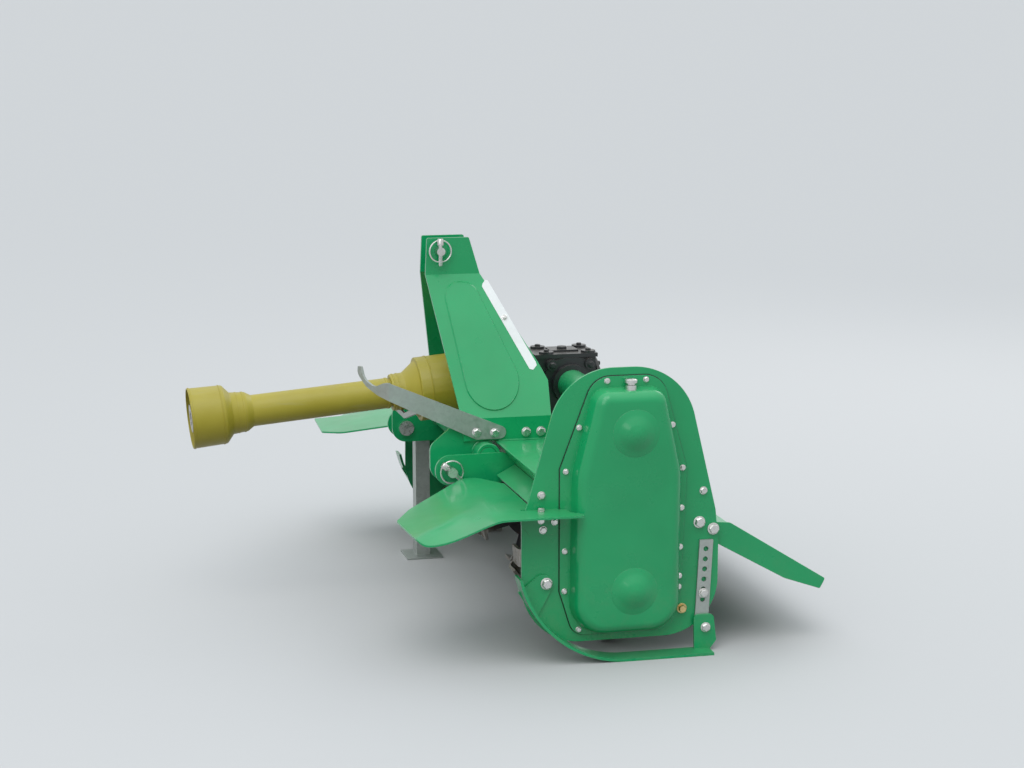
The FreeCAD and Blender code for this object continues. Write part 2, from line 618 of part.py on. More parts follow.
def gearbox():
    """The cast gearbox: a block on a foot, arched side flanges with bosses, and a long nose."""
    body = block("box_body", ("8 - box_front", "box_rear - 6"), ("8 - box_half", "box_half - 8"),
                 ("hood_top + box_foot", "box_top - lid_sheet"))
    foot = block("box_base", ("-box_front - 30", "box_rear - 14"), ("-box_half - 12", "box_half + 12"),
                 ("hood_top", "hood_top + box_foot"))
    pieces = [body, foot]
    arch = [
        ("shaft_x - arch_radius", "hood_top + box_foot - 1", 0),
        ("shaft_x + arch_radius", "hood_top + box_foot - 1", 0),
        ("shaft_x + arch_radius", "box_top - lid_sheet", "arch_radius - 12"),
        ("shaft_x - arch_radius", "box_top - lid_sheet", "arch_radius - 12"),
    ]
    for side in SIDES:
        start, end = span(side, "box_half - arch_sheet", "box_half")
        pieces.append(plate("box_arch_" + side, "XZ", arch, start, end))
        start, end = span(side, "box_half - 20", "box_half + 8")
        for name, shift in (("front", "-46"), ("rear", "46")):
            pieces.append(cylinder("box_boss_%s_%s" % (name, side), 13, 28, "shaft_x + " + shift, start,
                                   "shaft_z + 46", "Y"))
        start, end = span(side, "box_half", "box_half + ring_sheet")
        pieces.append(cylinder("box_ring_" + side, "ring_radius", "ring_sheet", "shaft_x", start,
                               "shaft_z", "Y"))
    pieces.append(cylinder("box_nose", 46, 60, "-box_front - 24", 0, "shaft_z", "X"))
    pieces.append(cylinder("box_snout", 34, 60, "-box_front - 52", 0, "shaft_z", "X"))
    pieces.append(cylinder("box_rear_cap", 48, 16, "box_rear - 10", 0, "shaft_z", "X"))
    bore = cylinder("box_bore", "stub_radius + fit_gap", 78, "-box_front - 53", 0, "shaft_z", "X")
    return less("gearbox", joined("box_solid", pieces), [bore])


def gearbox_lid():
    """The lid on the gearbox with a round pad at each corner and a raised middle."""
    low = "box_top - lid_sheet"
    pieces = [block("lid_sheet_piece", ("8 - lid_edge - box_front", "box_rear - 6 + lid_edge"),
                    ("8 - lid_edge - box_half", "box_half - 8 + lid_edge"), (low, "box_top - 5"))]
    for number in range(4):
        x = "pad_radius + 18 - box_front" if number < 2 else "box_rear - pad_radius - 4"
        y = "pad_radius + 4 - box_half" if number % 2 else "box_half - pad_radius - 4"
        pieces.append(cylinder("lid_pad_%d" % number, "pad_radius", "lid_sheet", x, y, low))
    pieces.append(block("lid_middle", ("50 - box_front", "box_rear - 40"), ("-24", "24"),
                        (low, "box_top - 1")))
    return joined("gearbox_lid", pieces)


def cross_arm():
    """The tube over the cross shaft from the gearbox to the drive case."""
    length = "half_width - box_half - ring_sheet"
    outside = cylinder("arm_outside", "arm_radius", length, "shaft_x", "-half_width", "shaft_z", "Y")
    foot = cylinder("arm_foot", 56, 10, "shaft_x", "-half_width", "shaft_z", "Y")
    inside = cylinder("arm_inside", "arm_radius - arm_wall", length, "shaft_x", "-half_width",
                      "shaft_z", "Y")
    return less("cross_arm", joined("arm_solid", [outside, foot]), [inside])


def side_cap():
    """The bolted bearing cap on the gearbox's right side."""
    start = "box_half + ring_sheet"
    flange = cylinder("cap_flange", "ring_radius - 4", 8, "shaft_x", start, "shaft_z", "Y")
    middle = cylinder("cap_middle", "ring_radius - 18", 20, "shaft_x", start, "shaft_z", "Y")
    return joined("side_cap", [flange, middle])


def deflector(side):
    """A side deflector: a level strip along the side plate and a wing that falls forwards.

    The sheet is cut from its plan outline, its fall is a bend across it, and its outer edge is
    bent down along the wing.
    """
    sign = "-" if side == "left" else ""
    inner_edge = "ball_y + clevis_half - wing_neck" if side == "left" else "leg_y + leg_side"
    apron_front = "-hood_front + lip_back - apron_reach - 1"
    plan = [
        (apron_front, "ball_y + clevis_half + hitch_plate + wing_inner", 0), (-250, inner_edge, 30),
        ("-wing_tip + 40", "wing_outer - wing_taper - 64", 60), ("-wing_tip", "wing_outer - wing_taper", 20),
        ("-wing_tip + 8", "wing_outer - 18", 30), ("-wing_crease - 6", "wing_outer", 40),
        (-92, "wing_outer", 10), (-124, "side_outer + 37", 0),
        (-128, "side_outer + cover_sheet + side_gap", 0),
        (-142, "side_outer + cover_sheet + side_gap", 0), (-142, "side_outer", 0),
        ("-side_front - 16", "side_outer", 0), ("-side_front - 16", "half_width - 1", 0),
        (apron_front, "half_width - 1", 0),
    ]
    plan = [(x, sign + "(%s)" % y, r) for x, y, r in plan]
    if side == "right":
        plan.reverse()
    fall = [
        (-90, "wing_z - wing_sheet", 0), (-90, "wing_z", 0), ("-wing_crease", "wing_z", 0),
        ("-wing_tip - 4", "wing_z - wing_fall", 0), ("-wing_tip - 4", "wing_z - wing_fall - wing_sheet", 0),
        ("-wing_crease", "wing_z - wing_sheet", 0),
    ]
    cut = plate("wing_plan_" + side, "XY", plan, 200, 400)
    bends = plate("wing_bends_" + side, "XZ", fall, "-wing_outer - 50", "wing_outer + 50")
    wing = shared("wing_" + side, cut, bends)
    start, end = span(side, "side_outer", "side_outer + wing_sheet")
    flange = [
        ("-side_front - 16", "wing_z", 0), ("-side_front - 16", "wing_z - 30", 0),
        ("-side_front + 4", "wing_z - 54", 8), (-142, "wing_z - 54", 12), (-142, "wing_z", 0),
    ]
    return joined("deflector_" + side, [wing, plate("wing_flange_" + side, "XZ", flange, start, end)])


def skid(side):
    """A skid: a strip with a curved front and two ears that bolt to the side plate and the bar."""
    start, end = span(side, "side_outer", "side_outer + skid_width")
    length = "skid_width"
    rim = cylinder("skid_rim_" + side, "skid_radius", length, 0, start, "skid_radius", "Y")
    hollow = cylinder("skid_hollow_" + side, "skid_radius - skid_sheet", length, 0, start,
                      "skid_radius", "Y")
    ring = less("skid_ring_" + side, rim, [hollow])
    front = block("skid_front_" + side, ("-skid_radius - 5", 0), (start, end), (0, "skid_radius * 0.79"))
    curve = shared("skid_curve_" + side, ring, front)
    flat = block("skid_flat_" + side, (-1, "skid_rear"), (start, end), (0, "skid_sheet"))
    start, end = span(side, "side_outer", "side_outer + ear_sheet")
    front_ear = [(-228, 152, 0), (-190, 92, 0), (-146, 172, 20), (-176, 192, 20)]
    near = plate("skid_ear_front_" + side, "XZ", front_ear, start, end)
    start, end = span(side, "side_outer + bar_sheet", "side_outer + bar_sheet + ear_sheet")
    rear_ear = [(158, 0, 0), ("skid_rear", 0, 0), (207, 22, 6), (200, 80, 10), (156, 80, 10)]
    far = plate("skid_ear_rear_" + side, "XZ", rear_ear, start, end)
    return joined("skid_" + side, [curve, flat, near, far])


def depth_bar(side):
    """The galvanised bar with a row of holes that sets a skid's height."""
    half = 15
    corners = [
        (174 - half, "bar_foot - 40", 0), (174 + half, "bar_foot - 40", 0),
        (184 + half, "bar_top", 2), (184 - half, "bar_top", 2),
    ]
    holes = []
    for number in range(6):
        along = "(bar_top - 20 - bar_pitch * %d)" % number
        holes.append(("173 + 11 * (%s - 46) / 196" % along, along, "bar_hole"))
    start, end = span(side, "side_outer", "side_outer + bar_sheet")
    return plate("depth_bar_" + side, "XZ", corners, start, end, holes)


def stop_bolts():
    """The bolts through the side plates that the tailboard's heels rest under."""
    bolts = []
    for side in SIDES:
        start = span(side, "end_wall - 14", "half_width")[0]
        bolts.append(cylinder("stop_" + side, "stop_radius", "14 + tail_clear",
                              "hinge_x - stop_ahead * cos(tail_slope)", start,
                              "hinge_z + stop_ahead * sin(tail_slope)", "Y"))
    return joined("stop_bolts", bolts)


def rotor():
    """The rotor's tube with the journals at its ends."""
    tube = cylinder("rotor_tube", "rotor_radius", "2 * flange_edge + 80", 0, "-flange_edge - 40",
                    "axle_z", "Y")
    journal = cylinder("rotor_journal", "journal_radius", "2 * side_outer + 17.5", 0, "-side_outer + 0.5",
                       "axle_z", "Y")
    return joined("rotor_shaft", [tube, journal])


def tine_sets():
    """The flanges, each with six L-shaped tines whose feet point to both sides in turn."""
    reach = value("tine_reach")
    sheet_t = value("tine_sheet")
    width = value("tine_width")
    foot = value("tine_foot")
    flange_r = value("flange_radius")
    flange_t = value("flange_sheet")
    edge = value("flange_edge")
    tube_r = value("rotor_radius")
    flange_count = 6
    tines_each = 6
    bend = 26
    top = math.sqrt(reach ** 2 - (width / 2) ** 2)
    along_y = FreeCAD.Vector(0, 1, 0)
    centre = FreeCAD.Vector(0, 0, 0)

    def tine(direction):
        """One tine: a flat leg that bends into a crosswise foot at the full reach."""
        inner = bend - sheet_t
        face = direction * (flange_t / 2 + sheet_t)
        back = direction * flange_t / 2
        tip = face + direction * (inner + foot - bend)
        low = flange_r - 34
        diagonal = math.sqrt(0.5)
        arc_y = back + direction * bend
        arc_z = top - bend
        outer = Part.Arc(FreeCAD.Vector(0, back, arc_z),
                         FreeCAD.Vector(0, arc_y - direction * bend * diagonal, arc_z + bend * diagonal),
                         FreeCAD.Vector(0, arc_y, top))
        inside = Part.Arc(FreeCAD.Vector(0, arc_y, top - sheet_t),
                          FreeCAD.Vector(0, arc_y - direction * inner * diagonal, arc_z + inner * diagonal),
                          FreeCAD.Vector(0, face, arc_z))
        spots = [FreeCAD.Vector(0, back, low), FreeCAD.Vector(0, back, arc_z), FreeCAD.Vector(0, arc_y, top),
                 FreeCAD.Vector(0, tip, top), FreeCAD.Vector(0, tip, top - sheet_t),
                 FreeCAD.Vector(0, arc_y, top - sheet_t), FreeCAD.Vector(0, face, arc_z),
                 FreeCAD.Vector(0, face, low)]
        edges = [Part.makeLine(spots[0], spots[1]), outer.toShape(), Part.makeLine(spots[2], spots[3]),
                 Part.makeLine(spots[3], spots[4]), Part.makeLine(spots[4], spots[5]), inside.toShape(),
                 Part.makeLine(spots[6], spots[7]), Part.makeLine(spots[7], spots[0])]
        profile = Part.Face(Part.Wire(edges))
        return profile.translated(FreeCAD.Vector(-width / 2, 0, 0)).extrude(FreeCAD.Vector(width, 0, 0))

    shapes = []
    for number in range(flange_count):
        y = -edge + 2 * edge * number / (flange_count - 1)
        face = FreeCAD.Vector(0, y - flange_t / 2, 0)
        disc = Part.makeCylinder(flange_r, flange_t, face, along_y)
        shapes.append(disc.cut(Part.makeCylinder(tube_r, flange_t, face, along_y)))
        for place in range(tines_each):
            direction = 1 if place % 2 == 0 else -1
            if number == 0:
                direction = 1
            if number == flange_count - 1:
                direction = -1
            piece = tine(direction)
            angle = 360.0 * place / tines_each + 25.0 * number
            piece.rotate(centre, along_y, angle)
            piece.translate(FreeCAD.Vector(0, y, 0))
            shapes.append(piece)
    whole = shapes[0].multiFuse(shapes[1:])
    node = doc.addObject("Part::Feature", "rotor_tines")
    node.Shape = whole
    return node


def tailboard():
    """The tailboard: a ribbed sheet with end cheeks, heels under the stop bolts and hinge pins."""
    sheet_side = [
        (-6, "-tail_sheet", 0), ("tail_length", "-tail_sheet", 0), ("tail_length", 0, 0), (-6, 0, 0),
    ]
    pieces = [plate("tail_sheet_piece", "XZ", sheet_side, "-end_wall", "end_wall")]
    rib = [(200, -18, 0), (212, -18, 0), (212, "-tail_sheet + 1", 0), (200, "-tail_sheet + 1", 0)]
    pieces.append(plate("tail_rib", "XZ", rib, "-end_wall", "end_wall"))
    cheek = [
        ("-stop_ahead - 10", "-cheek_depth * 0.5", 6), (4, "-cheek_depth * 0.7", 10),
        ("tail_length * 0.6", "-cheek_depth", 30), ("tail_length - 10", "-cheek_depth * 0.5", 8),
        ("tail_length", 0, 0), (14, "hinge_pin + 3", 8), (-12, "hinge_pin + 3", 8),
        (-20, "-stop_radius - fit_gap", 4),
        ("-stop_ahead - 10", "-stop_radius - fit_gap", 4),
    ]
    for side in SIDES:
        start, end = span(side, "end_wall - tail_sheet", "end_wall")
        pieces.append(plate("tail_cheek_" + side, "XZ", cheek, start, end))
        start, end = span(side, "end_wall - tail_sheet", "side_outer")
        length = "(%s) - (%s)" % (end, start)
        pieces.append(cylinder("tail_pin_" + side, "hinge_pin", length, 0, start, 0, "Y"))
    return joined("tailboard", pieces)


def stand_sleeve():
    """The square sleeve on the right outer hitch plate that the parking stand slides in."""
    half_out = "(leg_side / 2 + leg_wall + fit_gap)"
    half_in = "(leg_side / 2 + fit_gap)"
    low = "pin_z - 40"
    high = low + " + sleeve_length"
    outside = block("sleeve_outside", ("-leg_x - " + half_out, "-leg_x + " + half_out),
                    ("leg_y - " + half_out, "leg_y + " + half_out), (low, high))
    inside = block("sleeve_inside", ("-leg_x - " + half_in, "-leg_x + " + half_in),
                   ("leg_y - " + half_in, "leg_y + " + half_in), (low + " - 1", high + " + 1"))
    return less("stand_sleeve", outside, [inside])


def stand_leg():
    """The parking stand: a square tube with a foot plate and a cap."""
    half = "leg_side / 2"
    outside = block("leg_outside", ("-leg_x - " + half, "-leg_x + " + half),
                    ("leg_y - " + half, "leg_y + " + half), (4, "5 + leg_length"))
    half_in = "(leg_side / 2 - leg_wall)"
    inside = block("leg_inside", ("-leg_x - " + half_in, "-leg_x + " + half_in),
                   ("leg_y - " + half_in, "leg_y + " + half_in), (4, "leg_length"))
    tube = less("leg_tube", outside, [inside])
    foot = block("leg_plate", ("-leg_x - leg_foot / 2", "-leg_x + leg_foot / 2"),
                 ("leg_y - leg_foot / 2", "leg_y + leg_foot / 2"), (0, 5))
    return joined("stand_leg", [tube, foot])


def input_yoke():
    """The gearbox's input shaft with the fork and cross of the drive shaft's joint."""
    shaft = cylinder("input_shaft", "stub_radius", "joint_x - box_front - 20", "-joint_x + 44", 0,
                     "shaft_z", "X")
    hub = cylinder("input_hub", 26, 50, "-joint_x + 38", 0, "shaft_z", "X")
    pieces = [shaft, hub]
    for name, start, end in (("near", "-fork_half - fork_sheet", "-fork_half"),
                             ("far", "fork_half", "fork_half + fork_sheet")):
        ear = [("-joint_x - 18", "shaft_z - 18", 16), ("-joint_x + 48", "shaft_z - 18", 2),
               ("-joint_x + 48", "shaft_z + 18", 2), ("-joint_x - 18", "shaft_z + 18", 16)]
        pieces.append(plate("input_ear_" + name, "XZ", ear, start, end))
    pieces.append(block("input_bridge", ("-joint_x + 40", "-joint_x + 52"),
                        ("-fork_half - fork_sheet", "fork_half + fork_sheet"),
                        ("shaft_z - 18", "shaft_z + 18")))
    pieces.append(cylinder("cross_level", "cross_radius", "2 * fork_half + 2", "-joint_x", "-fork_half - 1",
                           "shaft_z", "Y"))
    upright = cylinder("cross_bar", "cross_radius", "2 * fork_half + 2", "-joint_x", 0,
                       "shaft_z - fork_half - 1", "Z")
    ball = doc.addObject("Part::Sphere", "cross_ball")
    bind(ball, "Radius", "fork_half - fit_gap")
    put(ball, "-joint_x", 0, "shaft_z")
    pieces.append(shared("cross_upright", upright, ball))
    return joined("input_yoke", pieces)


def set_on_shaft(body):
    """Puts a piece that was made along its own -X axis on the drive shaft's slope."""
    body.Placement = FreeCAD.Placement(FreeCAD.Vector(), FreeCAD.Rotation(FreeCAD.Vector(0, -1, 0), 10))
    bind(body, "Placement.Rotation.Angle", "shaft_slope * 1 deg")
    bind(body, "Placement.Base.x", "-joint_x - origin_x")
    bind(body, "Placement.Base.z", "shaft_z")
    return body


def guard_rear():
    """The guard's rear half: a bell round the joint, a stepped neck and the inner tube."""
    wall = "guard_wall"
    corners = [
        (-35, "bell_radius - %s" % wall, 0), (-35, "bell_radius", 0), (98, "bell_radius", 2),
        (99, "bell_radius - 8", 2), (124, "guard_radius + neck_step + 4", 10),
        (130, "guard_radius + neck_step", 6), (160, "guard_radius + neck_step - 1", 2),
        (160, "inner_tube", 0), (330, "inner_tube", 0), (330, "inner_tube - %s" % wall, 0),
        (118, "inner_tube - %s" % wall, 6),
        (92, "bell_radius - 8 - %s" % wall, 8), (70, "bell_radius - %s" % wall, 4),
    ]
    corners.reverse()
    return turned("guard_rear", corners)


def guard_front():
    """The guard's front half: the outer tube and the bell at the free end."""
    corners = [
        (164, "guard_radius", 2), ("drive_length - 142", "guard_radius + 1", 2),
        ("drive_length - 128", "guard_radius + 10", 3), ("drive_length - 94", "guard_radius + 13", 4),
        ("drive_length - 78", "end_radius - 2", 8), ("drive_length", "end_radius", 0),
        ("drive_length", "end_radius - guard_wall", 0),
        ("drive_length - 74", "end_radius - 2 - guard_wall", 6),
        ("drive_length - 92", "guard_radius + 10 - guard_wall", 3),
        ("drive_length - 126", "guard_radius + 7 - guard_wall", 3),
        ("drive_length - 140", "guard_radius - guard_wall", 2), (164, "guard_radius - guard_wall", 0),
    ]
    return turned("guard_front", corners)


def shaft_rear():
    """The fork on the drive shaft's side of the joint, with its bar inside the guard."""
    bar = cylinder("rear_bar", "inner_tube - guard_wall - fit_gap", 60, -180, 0, 0, "X")
    stem = cylinder("rear_stem", 18, 100, -140, 0, 0, "X")
    pieces = [bar, stem]
    for name, low, high in (("low", "-fork_half - fork_sheet", "-fork_half"),
                            ("high", "fork_half", "fork_half + fork_sheet")):
        ear = [(-50, -18, 2), (18, -18, 16), (18, 18, 16), (-50, 18, 2)]
        pieces.append(plate("rear_ear_" + name, "XY", ear, low, high))
    pieces.append(block("rear_bridge", (-54, -42), (-18, 18),
                        ("-fork_half - fork_sheet", "fork_half + fork_sheet")))
    return joined("shaft_rear", pieces)


def shaft_front():
    """The yoke at the free end: a splined sleeve that fits the power take-off's stub."""
    bar = cylinder("front_bar", "inner_tube", 70, "-drive_length + 110", 0, 0, "X")
    stem = cylinder("front_stem", 20, 140, "-drive_length + 20", 0, 0, "X")
    hub = cylinder("front_hub", 32, 60, "-drive_length + 2", 0, 0, "X")
    bore = cylinder("front_bore", "stub_radius", 60, "-drive_length + 1", 0, 0, "X")
    return less("shaft_front", joined("front_solid", [bar, stem, hub]), [bore])


def main():
    fill_sheet()
    nodes = []
    for side in SIDES:
        nodes.append(side_plate(side))
        nodes.extend(hitch_plates(side))
        nodes.append(mast_plate(side))
        nodes.append(lower_pin(side))
        nodes.append(deflector(side))
        nodes.append(skid(side))
        nodes.append(depth_bar(side))
    makers = [
        case_cover, bearing_housing, hood_shell, aprons, cross_tube, top_link_pin, drive_hook,
        gearbox, gearbox_lid, cross_arm, side_cap, stop_bolts, rotor, stand_sleeve, stand_leg,
        input_yoke,
    ]
    for make in makers:
        nodes.append(make())
    doc.recompute()
    for node in nodes:
        bind(node, "Placement.Base.x", "-origin_x")
    tines = tine_sets()
    bind(tines, "Placement.Base.x", "-origin_x")
    bind(tines, "Placement.Base.z", "axle_z")
    nodes.append(tines)
    flap = tailboard()
    flap.Placement = FreeCAD.Placement(FreeCAD.Vector(), FreeCAD.Rotation(FreeCAD.Vector(0, 1, 0), 10))
    bind(flap, "Placement.Rotation.Angle", "tail_slope * 1 deg")
    bind(flap, "Placement.Base.x", "hinge_x - origin_x")
    bind(flap, "Placement.Base.z", "hinge_z")
    nodes.append(flap)
    for make in (guard_rear, guard_front, shaft_rear, shaft_front):
        nodes.append(set_on_shaft(make()))
    doc.recompute()
    faults = []
    for thing in doc.Objects:
        if "Invalid" in thing.State or "Error" in thing.State:
            faults.append("%s: %s" % (thing.Name, thing.State))
    for node in nodes:
        if node.Shape.isNull() or not node.Shape.isValid():
            faults.append("%s has no valid shape" % node.Label)
    if faults:
        raise RuntimeError("; ".join(faults))
    os.makedirs("parts", exist_ok=True)
    for node in nodes:
        node.Shape.exportStep("parts/%s.step" % node.Label)
        print(node.Label, len(node.Shape.Solids), round(node.Shape.Volume / 1e6, 4))


main()
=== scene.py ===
import json
import math

import bmesh
import bpy
from mathutils import Matrix, Vector


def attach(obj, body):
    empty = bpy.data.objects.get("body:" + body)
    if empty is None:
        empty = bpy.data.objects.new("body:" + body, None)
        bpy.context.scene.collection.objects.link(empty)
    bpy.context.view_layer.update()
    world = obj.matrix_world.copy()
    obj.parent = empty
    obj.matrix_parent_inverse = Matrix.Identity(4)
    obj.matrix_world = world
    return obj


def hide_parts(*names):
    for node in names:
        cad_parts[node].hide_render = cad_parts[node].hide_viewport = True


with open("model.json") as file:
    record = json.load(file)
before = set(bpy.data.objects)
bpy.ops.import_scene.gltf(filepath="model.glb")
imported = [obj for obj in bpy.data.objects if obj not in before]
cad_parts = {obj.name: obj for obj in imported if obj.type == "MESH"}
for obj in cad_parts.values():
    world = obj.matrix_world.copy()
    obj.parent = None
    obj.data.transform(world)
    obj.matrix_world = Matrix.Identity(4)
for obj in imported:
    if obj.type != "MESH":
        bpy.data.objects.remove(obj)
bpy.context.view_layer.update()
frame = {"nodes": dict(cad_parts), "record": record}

# places are in mm: x behind the rotor axis, y right of the centre plane, z over the floor
AXIS_BEHIND = 190.84    # the rotor axis behind the frame's origin
AXLE_Z = 154
SHAFT_Z = 485           # the gearbox's shafts
JOINT = (-215, 0, SHAFT_Z)    # the drive shaft's rear universal joint
SHAFT_SLOPE = math.radians(5)
HINGE = (200, 0, 264)   # the tailboard's hinge
TAIL_SLOPE = math.radians(27)
SIDE_FACE = 631         # the outer faces of the side plates, from the centre plane
WING_TOP = 326          # the top faces of the side deflectors, behind their bends
TUBE = (-207.3, 370)    # x and z of the cross tube's axis

FORWARD = (-1, 0, 0)
BACK = (1, 0, 0)
LEFT = (0, -1, 0)
RIGHT = (0, 1, 0)
UP = (0, 0, 1)
SIDES = ((-1, LEFT), (1, RIGHT))
SIDE_NAMES = ((-1, "left"), (1, "right"))


def at(x, y, z):
    """A point of the frame, in metres, from millimetres off the rotor axis."""
    return Vector(((x + AXIS_BEHIND) / 1000, y / 1000, z / 1000))


def facing(point, axis, roll=0.0):
    """A matrix at a point whose local Z looks along an axis."""
    turn = Vector(axis).normalized().to_track_quat("Z", "Y").to_matrix().to_4x4()
    return Matrix.Translation(point) @ turn @ Matrix.Rotation(roll, 4, "Z")


def shaft_place(ahead, roll=0.0):
    """A matrix on the drive shaft, a distance ahead of the joint, its Z towards the free end."""
    axis = Vector((-math.cos(SHAFT_SLOPE), 0, -math.sin(SHAFT_SLOPE)))
    return facing(at(*JOINT) + axis * ahead / 1000, axis, roll)


# materials

GREEN = (0.004, 0.325, 0.108)
BLACK = (0.017, 0.018, 0.020)
YELLOW = (0.37, 0.305, 0.02)
SPANGLE = (0.46, 0.50, 0.47)
PLATED = (0.66, 0.66, 0.64)
TURNED = (0.46, 0.45, 0.43)
ROTOR_PAINT = (0.045, 0.045, 0.048)
SCOURED = (0.42, 0.40, 0.37)
SCOURED_DARK = (0.23, 0.19, 0.15)
# the lighter grey along the green paint's edges: bare steel where chipped, and a painted highlight
EDGE_WEAR_AND_HIGHLIGHT = (0.42, 0.43, 0.42)
DUST = (0.30, 0.235, 0.16)
DUST_ON_BLACK = (0.20, 0.17, 0.13)
DUST_ON_YELLOW = (0.33, 0.28, 0.17)
SCUFF = (0.40, 0.36, 0.14)
DULL_ZINC = (0.33, 0.335, 0.30)
STAIN = (0.17, 0.13, 0.09)
SOIL = (0.115, 0.068, 0.038)
BARE_REACH = (0.108, 0.126)    # from the rotor's axis in m: painted inside, bare outside


def new_material(name, colour, roughness, metallic=0.0):
    """A material with one principled shader, and its node tree."""
    material = bpy.data.materials.new(name)
    material.use_nodes = True
    material.diffuse_color = (*colour, 1)
    tree = material.node_tree
    surface = tree.nodes["Principled BSDF"]
    surface.inputs["Base Color"].default_value = (*colour, 1)
    surface.inputs["Roughness"].default_value = roughness
    surface.inputs["Metallic"].default_value = metallic
    return material, tree, surface


def feed(tree, socket, source):
    """Sets a socket to a number, a colour or another node's output."""
    if isinstance(source, bpy.types.NodeSocket):
        tree.links.new(source, socket)
    elif isinstance(source, tuple):
        socket.default_value = (*source, 1)
    else:
        socket.default_value = source


def object_coordinates(tree):
    """A place in metres, in the frame."""
    return tree.nodes.new("ShaderNodeTexCoord").outputs["Object"]


def noise(tree, scale, detail=4.0, roughness=0.55, stretch=None):
    """A noise value over the object's own coordinates, stretched along an axis where asked."""
    coordinates = object_coordinates(tree)
    if stretch:
        mapping = tree.nodes.new("ShaderNodeMapping")
        mapping.inputs["Scale"].default_value = stretch
        tree.links.new(coordinates, mapping.inputs["Vector"])
        coordinates = mapping.outputs["Vector"]
    node = tree.nodes.new("ShaderNodeTexNoise")
    node.inputs["Scale"].default_value = scale
    node.inputs["Detail"].default_value = detail
    node.inputs["Roughness"].default_value = roughness
    tree.links.new(coordinates, node.inputs["Vector"])
    return node.outputs["Fac"]


def ramp(tree, value, low, high, start=0.0, end=1.0):
    """Maps a value from one range to another, clamped."""
    node = tree.nodes.new("ShaderNodeMapRange")
    feed(tree, node.inputs["Value"], value)
    for name, number in (("From Min", low), ("From Max", high), ("To Min", start), ("To Max", end)):
        node.inputs[name].default_value = number
    return node.outputs["Result"]


def maths(tree, kind, first, second):
    """A maths node on two values."""
    node = tree.nodes.new("ShaderNodeMath")
    node.operation = kind
    feed(tree, node.inputs[0], first)
    feed(tree, node.inputs[1], second)
    return node.outputs[0]


def product(tree, first, second):
    """One value times another."""
    return maths(tree, "MULTIPLY", first, second)


def blend(tree, factor, first, second):
    """A mix of two colours."""
    node = tree.nodes.new("ShaderNodeMix")
    node.data_type = "RGBA"
    feed(tree, node.inputs[0], factor)
    feed(tree, node.inputs[6], first)
    feed(tree, node.inputs[7], second)
    return node.outputs[2]


def bump(tree, surface, height, strength, distance):
    """Relief from a height value."""
    node = tree.nodes.new("ShaderNodeBump")
    node.inputs["Strength"].default_value = strength
    node.inputs["Distance"].default_value = distance
    tree.links.new(height, node.inputs["Height"])
    tree.links.new(node.outputs["Normal"], surface.inputs["Normal"])


def z_of(tree, vector):
    """The Z part of a vector."""
    split = tree.nodes.new("ShaderNodeSeparateXYZ")
    tree.links.new(vector, split.inputs[0])
    return split.outputs["Z"]


def face_normal(tree):
    """The way a face looks."""
    return tree.nodes.new("ShaderNodeNewGeometry").outputs["Normal"]


def upward(tree):
    """How far a face looks up, from 0 to 1."""
    return ramp(tree, z_of(tree, face_normal(tree)), 0.35, 0.95)


def edges(tree, radius):
    """Where a face turns an edge, from 0 to 1."""
    rounded_normal = tree.nodes.new("ShaderNodeBevel")
    rounded_normal.samples = 4
    rounded_normal.inputs["Radius"].default_value = radius
    likeness = tree.nodes.new("ShaderNodeVectorMath")
    likeness.operation = "DOT_PRODUCT"
    tree.links.new(rounded_normal.outputs[0], likeness.inputs[0])
    tree.links.new(face_normal(tree), likeness.inputs[1])
    return ramp(tree, likeness.outputs["Value"], 0.98, 0.8)


def enamel(name, colour, roughness, dust, edge_wear_and_highlight, coat):
    """Gloss paint on pressed steel: dust on top, splashes low down, and a lighter grey along its
    edges, partly chips and partly painted highlight.
    """
    material, tree, surface = new_material(name, colour, roughness)
    surface.inputs["Specular IOR Level"].default_value = 0.36
    surface.inputs["Coat Weight"].default_value = coat
    surface.inputs["Coat Roughness"].default_value = 0.12
    lighter = tuple(min(1.0, part * 1.16 + 0.004) for part in colour)
    paint = blend(tree, ramp(tree, noise(tree, 5.0, 3.0), 0.35, 0.7), colour, lighter)
    drifts = ramp(tree, noise(tree, 9.0, 8.0, 0.65), 0.3, 0.7, 0.25, 1.0)
    settled = product(tree, product(tree, upward(tree), drifts), dust)
    low_down = ramp(tree, z_of(tree, object_coordinates(tree)), 0.26, 0.02)
    spots = ramp(tree, noise(tree, 26.0, 9.0, 0.7), 0.48, 0.66)
    splashed = product(tree, product(tree, low_down, spots), 0.12)
    grime = maths(tree, "MAXIMUM", settled, splashed)
    dusty = blend(tree, grime, paint, DUST)
    # lighter grey along the edges, broken up by noise: partly paint chipped to bare steel, partly a
    # painted highlight on the edges
    edge_patches = ramp(tree, noise(tree, 130.0, 6.0, 0.7), 0.5, 0.62)
    edge_chips_and_highlight = product(tree, edges(tree, 0.0016), edge_patches)
    chipped_and_highlit = blend(tree, product(tree, edge_chips_and_highlight, edge_wear_and_highlight), dusty, EDGE_WEAR_AND_HIGHLIGHT)
    feed(tree, surface.inputs["Base Color"], chipped_and_highlit)
    gloss = ramp(tree, noise(tree, 14.0, 5.0), 0.3, 0.7, roughness * 0.85, roughness * 1.25)
    matt = maths(tree, "ADD", gloss, product(tree, grime, 0.5))
    feed(tree, surface.inputs["Roughness"], matt)
    bump(tree, surface, noise(tree, 170.0, 2.0), 0.12, 0.0004)
    return material


